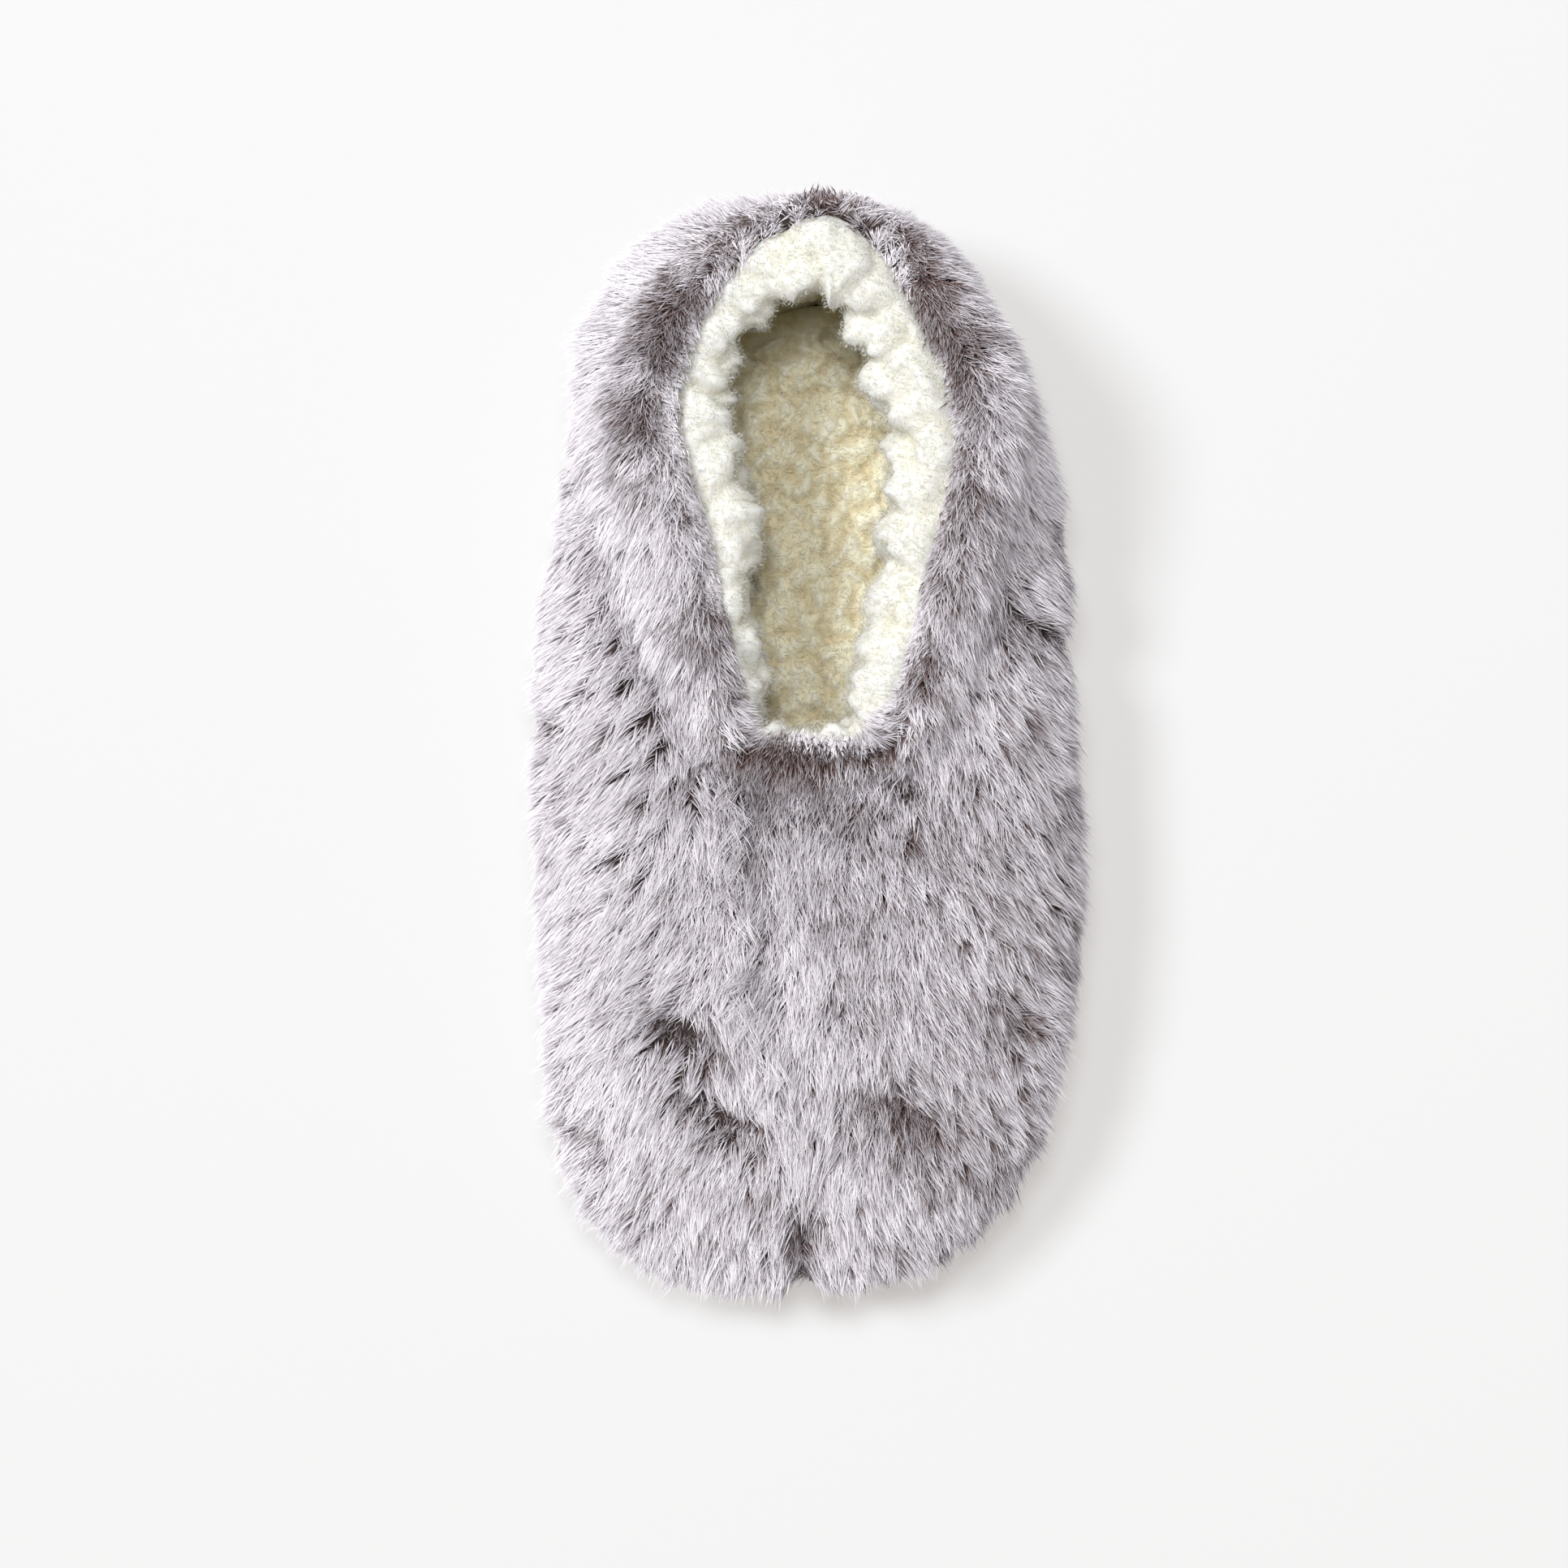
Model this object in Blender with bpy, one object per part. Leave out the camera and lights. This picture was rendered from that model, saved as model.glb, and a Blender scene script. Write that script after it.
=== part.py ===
"""A fur slipper sock with a fleece lining, standing empty on its soft sole.

The pieces are those a maker sews together: the outsole, the padded insole, the fleece lining
and the fur upper, whose collar is turned over in a hem. All of them follow one form, the last:
a table of sections round the shoe, each running from the sole's edge up to the collar.

Metres, +Z up. The toe points along -Y and the heel along +Y. The floor is z = 0.
"""

import math
from typing import NamedTuple

import bmesh
import bpy
import numpy as np

# Driving sizes of the last, in metres
SOLE_LENGTH = 0.231
BALL_WIDTH = 0.101
INSTEP_HEIGHT = 0.045
HEEL_HEIGHT = 0.058

# Layers, from the floor up and from the outside in
SOLE_THICKNESS = 0.004
INSOLE_THICKNESS = 0.007
FUR_BACKING = 0.0025
LINING_THICKNESS = 0.0065
GAP = 0.0003

# Pile of the fur: how far its locks stand off the backing, and where the lowest and highest start
PILE_HEIGHT = 0.0068
PILE_SEED = 7
FLOOR_CLEARANCE = 0.0016
TOP_ROOT = 0.96

# Locks closer together than the spacing stand lower, down to the least share of the pile
LOCK_SPACING = 0.0055
LEAST_PILE = 0.2

# A lock's tip hangs past its band and leans towards the toe, as shares of the band and of the way
# to the next lock. The grooves between locks are drawn up a little.
TIP_HANG = 0.42
TIP_LEAN = 0.25
LEAST_LEAN = 0.4
GROOVE_HANG = -0.12
LENGTH_SPREAD = 0.25
STAND_SPREAD = 0.14

# Pile of the hem, the share of it in its grooves and how uneven it is
HEM_PILE = 0.0042
HEM_GROOVE = 0.55
HEM_SPREAD = 0.2

# Counts of the faceted forms, and the angle from which an edge is sharp
POINTS_PER_SECTION = 6
LOCK_BANDS = 8
SOLE_STRIDE = 2
SHARP_ANGLE = math.radians(50)


class Section(NamedTuple):
    """A section of the last, from the sole's edge to the collar.

    Places across are shares of half the ball width, places along are shares of the sole's
    length. collar_height runs from 0 at the instep to 1 at the heel. The other columns are
    shares of the instep height: how far the wall bulges past the sole's edge and how high that
    bulge is, how far the wall reaches out below the collar and how much it rises there, the
    radius of the collar's hem, and how far the fleece rolls out past that hem.
    """

    place: str
    edge_across: float
    edge_along: float
    collar_across: float
    collar_along: float
    collar_height: float
    bulge: float
    bulge_height: float
    reach: float
    rise: float
    hem: float
    roll: float


SECTIONS = (
    Section("toe", -0.09, -0.524, 0.00, -0.024, 0.00, 0.78, 0.55, 1.35, 0.24, 0.085, 0.07),
    Section("toe_left", -0.73, -0.487, -0.24, -0.022, 0.02, 0.72, 0.55, 1.20, 0.22, 0.085, 0.09),
    Section("ball_front_left", -0.93, -0.364, -0.39, -0.011, 0.10, 0.60, 0.55, 0.90, 0.16, 0.095, 0.13),
    Section("ball_left", -1.00, -0.195, -0.450, 0.026, 0.20, 0.54, 0.52, 0.62, 0.06, 0.115, 0.18),
    Section("waist_left", -0.96, 0.000, -0.510, 0.104, 0.30, 0.60, 0.48, 0.54, -0.08, 0.130, 0.20),
    Section("mid_left", -0.89, 0.173, -0.640, 0.225, 0.42, 0.50, 0.44, 0.42, -0.24, 0.140, 0.28),
    Section("heel_left", -0.78, 0.330, -0.730, 0.325, 0.65, 0.38, 0.44, 0.32, -0.42, 0.130, 0.29),
    Section("heel_back_left", -0.53, 0.436, -0.520, 0.448, 0.88, 0.42, 0.46, 0.32, -0.48, 0.105, 0.27),
    Section("heel_back", 0.02, 0.490, 0.040, 0.512, 1.00, 0.26, 0.48, 0.08, -0.48, 0.085, 0.29),
    Section("heel_back_right", 0.51, 0.446, 0.510, 0.452, 0.90, 0.24, 0.46, 0.16, -0.48, 0.095, 0.31),
    Section("heel_right", 0.75, 0.330, 0.770, 0.325, 0.68, 0.30, 0.44, 0.22, -0.44, 0.105, 0.36),
    Section("mid_right", 0.88, 0.173, 0.710, 0.208, 0.44, 0.48, 0.44, 0.38, -0.26, 0.115, 0.33),
    Section("waist_right", 0.95, 0.000, 0.584, 0.091, 0.30, 0.46, 0.48, 0.48, -0.08, 0.115, 0.27),
    Section("ball_right", 0.99, -0.195, 0.485, 0.026, 0.20, 0.55, 0.52, 0.62, 0.06, 0.105, 0.20),
    Section("ball_front_right", 0.85, -0.372, 0.386, -0.009, 0.10, 0.62, 0.55, 0.90, 0.16, 0.095, 0.13),
    Section("toe_right", 0.56, -0.480, 0.24, -0.022, 0.02, 0.70, 0.55, 1.20, 0.22, 0.085, 0.09),
)


class LockRing(NamedTuple):
    """A ring of a band of locks.

    up_band is its place in the band, hang and sweep are its shares of the tip's hang and lean, and
    ridge and groove are its shares of the pile.
    """

    up_band: float
    hang: float
    sweep: float
    ridge: float
    groove: float


LOCK_RINGS = (
    LockRing(0.00, 1.0, 1.00, 1.00, 0.26),
    LockRing(0.45, 0.0, 0.35, 0.66, 0.28),
    LockRing(0.94, 0.0, 0.00, 0.26, 0.14),
)

# Heights along a section, from the sole's edge at 0 to the hem at 1, for the smooth inner forms
WALL_STEPS = (0.0, 0.10, 0.26, 0.46, 0.66, 0.84, 0.965, 1.0)

# The layers are measured square to the wall, but level below the first height and, where the wall
# overhangs, increasingly level between the other two
LEVEL_FOOT = 0.2
LEVEL_HEAD = (0.6, 0.85)

# The fleece's roll beside the hem: half its height, how far its middle lies below the collar's line
# and how far it stays off the hem
ROLL_HALF_HEIGHT = 0.0080
ROLL_DROP = 0.0062
ROLL_CLEARANCE = 0.0006

# Turns of the fleece's roll, in degrees from straight in, from under the hem over its top to its foot
ROLL_TURNS = (190, 140, 95, 50, 5, -50)

# The height below which the lining's inner face follows the wall again
ROLL_FOOT = 0.70

# Turns of the hem's bead, in degrees from straight out, and the share of its pile at each
HEM_TURNS = ((-30, 0.0), (20, 1.0), (65, 0.80), (105, 0.70), (150, 0.55), (200, 0.0))

# The outsole's edge, from its top face round to the floor: share of its thickness, inset
SOLE_EDGE = ((1.0, 0.0012), (0.72, 0.0), (0.30, 0.0), (0.0, 0.0014))
SOLE_RINGS = (0.25, 0.60)

# The toe curls up past its start, and the soles' faces are drawn in to a middle line
TOE_SPRING = 0.0030
TOE_SPRING_START = -0.40
SPINE_ENDS = (-0.40, 0.36)

# The insole's edge, from its foot to its crown: share of its thickness, inset
INSOLE_EDGE = ((0.0, 0.0), (0.45, 0.0), (0.80, 0.0018), (1.0, 0.0055))
INSOLE_RINGS = (0.30, 0.62)
INSOLE_CLEARANCE = 0.0010

# Sewn seams pull the wall in at the middle of the toe and of the heel. Each starts at the sole and
# is full at its foot height. The toe's fades out between its two top heights.
SEAM_DEPTH = 0.0022
SEAM_HALF_WIDTH = 0.45
TOE_SEAM_FOOT = 0.10
TOE_SEAM_TOP = (0.18, 0.30)
HEEL_SEAM_FOOT = 0.40

# Colour and roughness of each material
FINISHES = {
    "sole_cloth": ((0.36, 0.33, 0.33), 0.9),
    "insole_fleece": ((0.78, 0.73, 0.58), 0.95),
    "lining_fleece": ((0.90, 0.87, 0.77), 0.95),
    "grey_fur": ((0.50, 0.47, 0.49), 0.8),
}


def periodic_spline(values, per_span):
    """Points on the smooth closed curve through the values, with per_span points for each value."""
    values = np.asarray(values, float)
    count = len(values)
    rows = np.arange(count)
    system = np.zeros((count, count))
    system[rows, rows] = 4.0
    system[rows, (rows + 1) % count] = 1.0
    system[rows, (rows - 1) % count] = 1.0
    after, before = np.roll(values, -1, 0), np.roll(values, 1, 0)
    slopes = np.linalg.solve(system, 3.0 * (after - before))
    share = np.arange(per_span) / per_span
    share = share.reshape((1, per_span) + (1,) * (values.ndim - 1))
    start, end = values[:, None], after[:, None]
    start_slope, end_slope = slopes[:, None], np.roll(slopes, -1, 0)[:, None]
    curve = (
        start * (2 * share**3 - 3 * share**2 + 1)
        + start_slope * (share**3 - 2 * share**2 + share)
        + end * (3 * share**2 - 2 * share**3)
        + end_slope * (share**3 - share**2)
    )
    return curve.reshape((count * per_span,) + values.shape[1:])


def column(name):
    """One column of the section table, smooth round the shoe."""
    return periodic_spline([getattr(s, name) for s in SECTIONS], POINTS_PER_SECTION)


def unit(vectors):
    """The vectors at unit length."""
    return vectors / np.linalg.norm(vectors, axis=-1, keepdims=True)


def square_to(line):
    """Level directions out of a closed line round the shoe, square to it on the plan."""
    along = np.roll(line, -1, 0) - np.roll(line, 1, 0)
    return unit(np.column_stack([-along[:, 1], along[:, 0], np.zeros(len(line))]))


def smooth_step(low, high, value):
    """0 below low, 1 above high and smooth between them."""
    share = np.clip((value - low) / (high - low), 0.0, 1.0)
    return share * share * (3.0 - 2.0 * share)


class Last:
    """The form that every piece follows, sampled at the same places round the shoe."""

    def __init__(self):
        half_width = BALL_WIDTH / 2
        self.edge = np.stack(
            [column("edge_across") * half_width, column("edge_along") * SOLE_LENGTH], 1
        )
        self.count = len(self.edge)
        self.outward = square_to(self.edge)
        self.up = np.array([0.0, 0.0, 1.0])
        collar_z = INSTEP_HEIGHT + (HEEL_HEIGHT - INSTEP_HEIGHT) * column("collar_height")
        self.collar = np.column_stack(
            [column("collar_across") * half_width, column("collar_along") * SOLE_LENGTH, collar_z]
        )
        self.inward = -unit(self.outward + square_to(self.collar))
        self.hem = column("hem") * INSTEP_HEIGHT
        self.roll = column("roll") * INSTEP_HEIGHT
        self.handles = self.wall_handles()

    def wall_handles(self):
        """The four control points of the wall's curve at each place round the shoe."""
        foot = np.column_stack([self.edge, np.full(self.count, SOLE_THICKNESS + GAP)])
        head = self.hem_point(HEM_TURNS[0][0], 0.0)
        lengths = {
            name: (column(name) * INSTEP_HEIGHT)[:, None]
            for name in ("bulge", "bulge_height", "reach", "rise")
        }
        low = foot + self.outward * lengths["bulge"] + self.up * lengths["bulge_height"]
        towards_foot = (foot - head) * (1, 1, 0) / INSTEP_HEIGHT
        high = head + unit(self.outward + towards_foot) * lengths["reach"] + self.up * lengths["rise"]
        return foot, low, high, head

    def hem_point(self, turn, pile):
        """A ring on the hem's bead, at a turn in degrees from straight out, with pile on it."""
        angle = math.radians(turn)
        radius = (self.hem + pile)[:, None]
        return self.collar + radius * (math.cos(angle) * self.outward + math.sin(angle) * self.up)

    def roll_point(self, turn):
        """A ring on the fleece's roll, an oval beside the hem, at a turn from straight in."""
        angle = math.radians(turn)
        outer = self.hem + ROLL_CLEARANCE
        inner = self.hem + np.maximum(self.roll, ROLL_CLEARANCE)
        reach = (outer + inner) / 2 + (inner - outer) / 2 * math.cos(angle)
        level = ROLL_HALF_HEIGHT * math.sin(angle) - ROLL_DROP
        return self.collar + self.inward * reach[:, None] + self.up * level

    def wall(self, height):
        """The wall's curve at a height from 0 to 1, or at one height for each place."""
        t = np.broadcast_to(np.asarray(height, float), (self.count,))[:, None]
        foot, low, high, head = self.handles
        ring = (
            foot * (1 - t) ** 3
            + low * 3 * (1 - t) ** 2 * t
            + high * 3 * (1 - t) * t**2
            + head * t**3
        )
        return ring - self.outward * self.seam_pull(t)

    def seam_pull(self, t):
        """How far the toe and heel seams draw the wall in, at heights t."""
        places = np.arange(self.count) / POINTS_PER_SECTION
        toe = np.minimum(places, len(SECTIONS) - places)[:, None]
        heel = np.abs(places - len(SECTIONS) / 2)[:, None]
        toe_pull = np.exp(-((toe / SEAM_HALF_WIDTH) ** 2)) * smooth_step(0.0, TOE_SEAM_FOOT, t)
        toe_pull = toe_pull * (1 - smooth_step(*TOE_SEAM_TOP, t))
        heel_pull = np.exp(-((heel / SEAM_HALF_WIDTH) ** 2)) * smooth_step(0.0, HEEL_SEAM_FOOT, t)
        return SEAM_DEPTH * (toe_pull + heel_pull)

    def normals(self, height):
        """Outward normals of the wall at a height, level at the sole's edge and below the hem."""
        height = np.broadcast_to(np.asarray(height, float), (self.count,))
        step = 0.01
        lower, upper = np.clip(height - step, 0, 1), np.clip(height + step, 0, 1)
        up_wall = self.wall(upper) - self.wall(lower)
        ring = self.wall(height)
        round_wall = np.roll(ring, -1, 0) - np.roll(ring, 1, 0)
        normal = unit(np.cross(up_wall, round_wall))
        normal[:, 2] *= smooth_step(0.0, LEVEL_FOOT, height)
        overhang = np.minimum(normal[:, 2], 0.0)
        normal[:, 2] -= overhang * smooth_step(*LEVEL_HEAD, height)
        return unit(normal)

    def inside(self, height, depth):
        """The ring at a depth inside the wall, or at one depth for each place."""
        depth = np.broadcast_to(depth, (self.count,))[:, None]
        return self.wall(height) - self.normals(height) * depth

    def plan_inset(self, inset, level):
        """The sole's edge moved in by an inset, at one level."""
        moved = self.edge - self.outward[:, :2] * inset
        return np.column_stack([moved, np.full(self.count, level)])


def lock_rings(last):
    """The fur's outer rings from the sole to the hem: staggered locks whose tips hang down."""
    chance = np.random.default_rng(PILE_SEED)
    places = np.arange(last.count)
    towards_toe = np.sign(places - last.count / 2)
    rings = []
    for band in range(LOCK_BANDS):
        ridge = (places + band) % 2 == 0
        length = 1.0 + LENGTH_SPREAD * chance.uniform(-1, 1, last.count)
        stand = PILE_HEIGHT * (1.0 + STAND_SPREAD * chance.uniform(-1, 1, last.count))
        lean = TIP_LEAN * towards_toe * chance.uniform(LEAST_LEAN, 1.0, last.count) * ridge
        hang = np.where(ridge, TIP_HANG * length, GROOVE_HANG)
        for lock in LOCK_RINGS:
            height = np.minimum((band + lock.up_band - hang * lock.hang) / LOCK_BANDS, TOP_ROOT)
            ring = lifted(last, height, stand * np.where(ridge, lock.ridge, lock.groove))
            rings.append(swept(ring, lean * lock.sweep))
    return rings


def swept(ring, lean):
    """A ring whose points lean towards a neighbour, by a signed share of the way there."""
    ahead, behind = np.roll(ring, -1, 0), np.roll(ring, 1, 0)
    neighbour = np.where(lean[:, None] > 0, ahead, behind)
    return ring + (neighbour - ring) * np.abs(lean)[:, None]


def lifted(last, height, stand):
    """A ring of pile that stands off the wall. Below the sole's edge it hangs towards the floor."""
    on_wall = np.clip(height, 0.0, 1.0)
    base = last.wall(on_wall)
    spacing = np.linalg.norm(np.roll(base, -1, 0) - np.roll(base, 1, 0), axis=1) / 2
    crowding = np.clip(spacing / LOCK_SPACING, LEAST_PILE, 1.0)
    ring = base + last.normals(on_wall) * (stand * crowding)[:, None]
    foot_length = np.linalg.norm(last.wall(LEVEL_FOOT) - last.wall(0.0), axis=1)
    ring[:, 2] -= np.clip(-height, 0.0, 1.0) * foot_length / LEVEL_FOOT
    ring[:, 2] = np.maximum(ring[:, 2], FLOOR_CLEARANCE)
    return ring


def hem_rings(last):
    """The turned hem of the collar, from outside over its crest to the lining."""
    chance = np.random.default_rng(PILE_SEED + 1)
    places = np.arange(last.count)
    rings = []
    for order, (turn, share) in enumerate(HEM_TURNS):
        ridge = np.where((places + order // 2) % 2 == 0, 1.0, HEM_GROOVE)
        uneven = 1.0 + HEM_SPREAD * chance.uniform(-1, 1, last.count)
        pile = HEM_PILE * share * ridge * uneven
        rings.append(last.hem_point(turn, pile))
    return rings


def mesh_from_rings(name, rings, capped):
    """A closed mesh through rings of points. The ends are capped, or joined to each other."""
    bm = bmesh.new()
    loops = [[bm.verts.new(point) for point in toe_spring(ring)] for ring in rings]
    pairs = list(zip(loops, loops[1:]))
    if not capped:
        pairs.append((loops[-1], loops[0]))
    for lower, upper in pairs:
        count = len(lower)
        for i in range(count):
            j = (i + 1) % count
            bm.faces.new((lower[i], lower[j], upper[j], upper[i]))
    if capped:
        bm.faces.new(loops[0])
        bm.faces.new(loops[-1])
    bmesh.ops.recalc_face_normals(bm, faces=bm.faces)
    bmesh.ops.triangulate(bm, faces=bm.faces)
    mesh = bpy.data.meshes.new(name)
    bm.to_mesh(mesh)
    bm.free()
    mesh.shade_smooth()
    mesh.set_sharp_from_angle(angle=SHARP_ANGLE)
    return mesh


def cloth(name):
    """A matt cloth material."""
    colour, roughness = FINISHES[name]
    material = bpy.data.materials.new(name)
    material.use_nodes = True
    shader = material.node_tree.nodes["Principled BSDF"]
    shader.inputs["Base Color"].default_value = (*colour, 1.0)
    shader.inputs["Roughness"].default_value = roughness
    shader.inputs["Metallic"].default_value = 0.0
    return material


def add_piece(name, mesh, finish):
    """One named piece of the slipper in the scene."""
    mesh.materials.append(cloth(finish))
    piece = bpy.data.objects.new(name, mesh)
    bpy.context.scene.collection.objects.link(piece)
    return piece


def toe_spring(points):
    """Points lifted where the slipper curls up off the floor towards the toe's tip."""
    start = TOE_SPRING_START * SOLE_LENGTH
    end = min(s.edge_along for s in SECTIONS) * SOLE_LENGTH
    share = np.clip((points[:, 1] - start) / (end - start), 0.0, 1.0)
    lifted_points = points.copy()
    lifted_points[:, 2] += TOE_SPRING * share**2
    return lifted_points


def towards_spine(ring, share):
    """A ring drawn in towards the sole's middle line."""
    spine = ring.copy()
    spine[:, 0] = 0.0
    start, end = (share_along * SOLE_LENGTH for share_along in SPINE_ENDS)
    spine[:, 1] = np.clip(ring[:, 1], start, end)
    return ring + (spine - ring) * share


def outsole_mesh(last):
    """The soft sole: its rounded edge, flat underside and toe spring."""
    edge = [last.plan_inset(inset, level * SOLE_THICKNESS) for level, inset in SOLE_EDGE]
    top = [towards_spine(edge[0], share) for share in reversed(SOLE_RINGS)]
    bottom = [towards_spine(edge[-1], share) for share in SOLE_RINGS]
    rings = [ring[::SOLE_STRIDE] for ring in top + edge + bottom]
    return mesh_from_rings("outsole", rings, capped=True)


def insole_mesh(last):
    """The padded insole: a crowned pad inside the lining's foot."""
    inset = FUR_BACKING + GAP + LINING_THICKNESS + INSOLE_CLEARANCE
    floor = SOLE_THICKNESS + GAP
    edge = [
        last.plan_inset(inset + draw_in, floor + level * INSOLE_THICKNESS)
        for level, draw_in in INSOLE_EDGE
    ]
    bottom = [towards_spine(edge[0], share) for share in reversed(INSOLE_RINGS)]
    top = [towards_spine(edge[-1], share) for share in INSOLE_RINGS]
    rings = [ring[::SOLE_STRIDE] for ring in bottom + edge + top]
    return mesh_from_rings("insole", rings, capped=True)


def upper_mesh(last):
    """The fur upper: its wall open underneath and at the collar, with locks and hem."""
    foot = [last.inside(0.0, -GAP)]
    inner = [last.inside(height, FUR_BACKING) for height in reversed(WALL_STEPS)]
    return mesh_from_rings("upper", foot + lock_rings(last) + hem_rings(last) + inner, capped=False)


def lining_mesh(last):
    """The fleece lining: a bag inside the wall that rolls out past the hem all round the collar."""
    depth = FUR_BACKING + GAP
    outer = [last.inside(height, depth) for height in WALL_STEPS[:-1]]
    roll = [last.roll_point(turn) for turn in ROLL_TURNS]
    below_roll = [height for height in reversed(WALL_STEPS) if height < ROLL_FOOT]
    inner = [last.inside(height, depth + LINING_THICKNESS) for height in below_roll]
    return mesh_from_rings("lining", outer + roll + inner, capped=False)


def centre_over_floor(pieces):
    """Moves the slipper so that the middle of its box stands on the origin."""
    points = np.array([v.co for piece in pieces for v in piece.data.vertices])
    middle = (points.min(0) + points.max(0)) / 2
    for piece in pieces:
        for vertex in piece.data.vertices:
            vertex.co.x -= middle[0]
            vertex.co.y -= middle[1]


def main():
    """Builds the slipper's pieces."""
    for old in list(bpy.data.objects):
        bpy.data.objects.remove(old)
    last = Last()
    pieces = [
        add_piece("outsole", outsole_mesh(last), "sole_cloth"),
        add_piece("insole", insole_mesh(last), "insole_fleece"),
        add_piece("lining", lining_mesh(last), "lining_fleece"),
        add_piece("upper", upper_mesh(last), "grey_fur"),
    ]
    centre_over_floor(pieces)


main()
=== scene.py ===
"""Looks of a fur slipper sock with a curly fleece lining, seen from above on a pale floor.

Every surface follows the form that the solids have: sections round the shoe, each running from
the sole's edge up to the collar. The fur's strands, the fleece's curls and the cloth sole are
worked out on that form as whole arrays. Metres, +Z up, the toe along -Y.
"""

import logging
import math
from dataclasses import dataclass
from enum import Enum
from typing import NamedTuple

import bpy
import numpy as np
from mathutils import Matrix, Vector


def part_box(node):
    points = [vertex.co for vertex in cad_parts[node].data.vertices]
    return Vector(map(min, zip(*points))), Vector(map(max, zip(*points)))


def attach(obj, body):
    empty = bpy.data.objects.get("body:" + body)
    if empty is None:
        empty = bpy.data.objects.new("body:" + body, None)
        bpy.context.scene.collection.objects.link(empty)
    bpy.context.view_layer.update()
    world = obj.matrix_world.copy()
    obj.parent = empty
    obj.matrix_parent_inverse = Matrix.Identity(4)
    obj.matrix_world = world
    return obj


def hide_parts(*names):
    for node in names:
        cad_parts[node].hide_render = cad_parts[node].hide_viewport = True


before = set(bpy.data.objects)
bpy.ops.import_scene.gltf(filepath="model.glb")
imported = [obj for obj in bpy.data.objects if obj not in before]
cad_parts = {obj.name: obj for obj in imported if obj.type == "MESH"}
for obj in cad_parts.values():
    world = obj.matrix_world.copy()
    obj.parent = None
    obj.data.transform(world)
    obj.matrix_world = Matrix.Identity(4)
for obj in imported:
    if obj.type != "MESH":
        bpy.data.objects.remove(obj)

log = logging.getLogger("slipper")

Array = np.ndarray
Colour = tuple[float, float, float]
Span = tuple[float, float]
BODY = "root"
BAKE_MAP = "OFBake"
MM = 1e-3
SAME_POINT = 1e-9
LEAST_LENGTH = 1e-12
UP = np.array([0.0, 0.0, 1.0])
TOEWARD = np.array([0.0, -1.0, 0.0])
RIGHTWARD = np.array([1.0, 0.0, 0.0])


class Section(NamedTuple):
    """A section of the last, from the sole's edge to the collar.

    Places across are shares of half the ball width, places along are shares of the sole's
    length. collar_height runs from 0 at the instep to 1 at the heel. The other columns are shares
    of the instep height: the wall's bulge and how high it is, its reach and rise below the collar,
    the hem's radius, and how far the fleece rolls out past the hem.
    """

    place: str
    edge_across: float
    edge_along: float
    collar_across: float
    collar_along: float
    collar_height: float
    bulge: float
    bulge_height: float
    reach: float
    rise: float
    hem: float
    roll: float


SECTIONS = (
    Section("toe", -0.09, -0.524, 0.00, -0.024, 0.00, 0.78, 0.55, 1.35, 0.24, 0.085, 0.07),
    Section("toe_left", -0.73, -0.487, -0.24, -0.022, 0.02, 0.72, 0.55, 1.20, 0.22, 0.085, 0.09),
    Section("ball_front_left", -0.93, -0.364, -0.39, -0.011, 0.10, 0.60, 0.55, 0.90, 0.16, 0.095, 0.13),
    Section("ball_left", -1.00, -0.195, -0.450, 0.026, 0.20, 0.54, 0.52, 0.62, 0.06, 0.115, 0.18),
    Section("waist_left", -0.96, 0.000, -0.510, 0.104, 0.30, 0.60, 0.48, 0.54, -0.08, 0.130, 0.20),
    Section("mid_left", -0.89, 0.173, -0.640, 0.225, 0.42, 0.50, 0.44, 0.42, -0.24, 0.140, 0.28),
    Section("heel_left", -0.78, 0.330, -0.730, 0.325, 0.65, 0.38, 0.44, 0.32, -0.42, 0.130, 0.29),
    Section("heel_back_left", -0.53, 0.436, -0.520, 0.448, 0.88, 0.42, 0.46, 0.32, -0.48, 0.105, 0.27),
    Section("heel_back", 0.02, 0.490, 0.040, 0.512, 1.00, 0.26, 0.48, 0.08, -0.48, 0.085, 0.29),
    Section("heel_back_right", 0.51, 0.446, 0.510, 0.452, 0.90, 0.24, 0.46, 0.16, -0.48, 0.095, 0.31),
    Section("heel_right", 0.75, 0.330, 0.770, 0.325, 0.68, 0.30, 0.44, 0.22, -0.44, 0.105, 0.36),
    Section("mid_right", 0.88, 0.173, 0.710, 0.208, 0.44, 0.48, 0.44, 0.38, -0.26, 0.115, 0.33),
    Section("waist_right", 0.95, 0.000, 0.584, 0.091, 0.30, 0.46, 0.48, 0.48, -0.08, 0.115, 0.27),
    Section("ball_right", 0.99, -0.195, 0.485, 0.026, 0.20, 0.55, 0.52, 0.62, 0.06, 0.105, 0.20),
    Section("ball_front_right", 0.85, -0.372, 0.386, -0.009, 0.10, 0.62, 0.55, 0.90, 0.16, 0.095, 0.13),
    Section("toe_right", 0.56, -0.480, 0.24, -0.022, 0.02, 0.70, 0.55, 1.20, 0.22, 0.085, 0.09),
)


class CollarTrim(NamedTuple):
    """How the fur and the fleece lie along the collar at a section.

    parting is how far the fur opens on the hem, from 0 to 1. crest is where round the bead it
    parts, breadth the parting's half width and edge where the fur ends, as shares of the bead from
    outside to inside. fringe is the length in millimetres of the strands that lean into the
    opening. cover is where the fleece starts, as a share of the hem's radius in from the collar's
    line. lift is how much higher it stands than elsewhere and swell how much further it comes in
    than the solid's roll, in millimetres.
    """

    place: str
    parting: float
    crest: float
    breadth: float
    edge: float
    fringe: float
    cover: float
    lift: float
    swell: float


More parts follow.
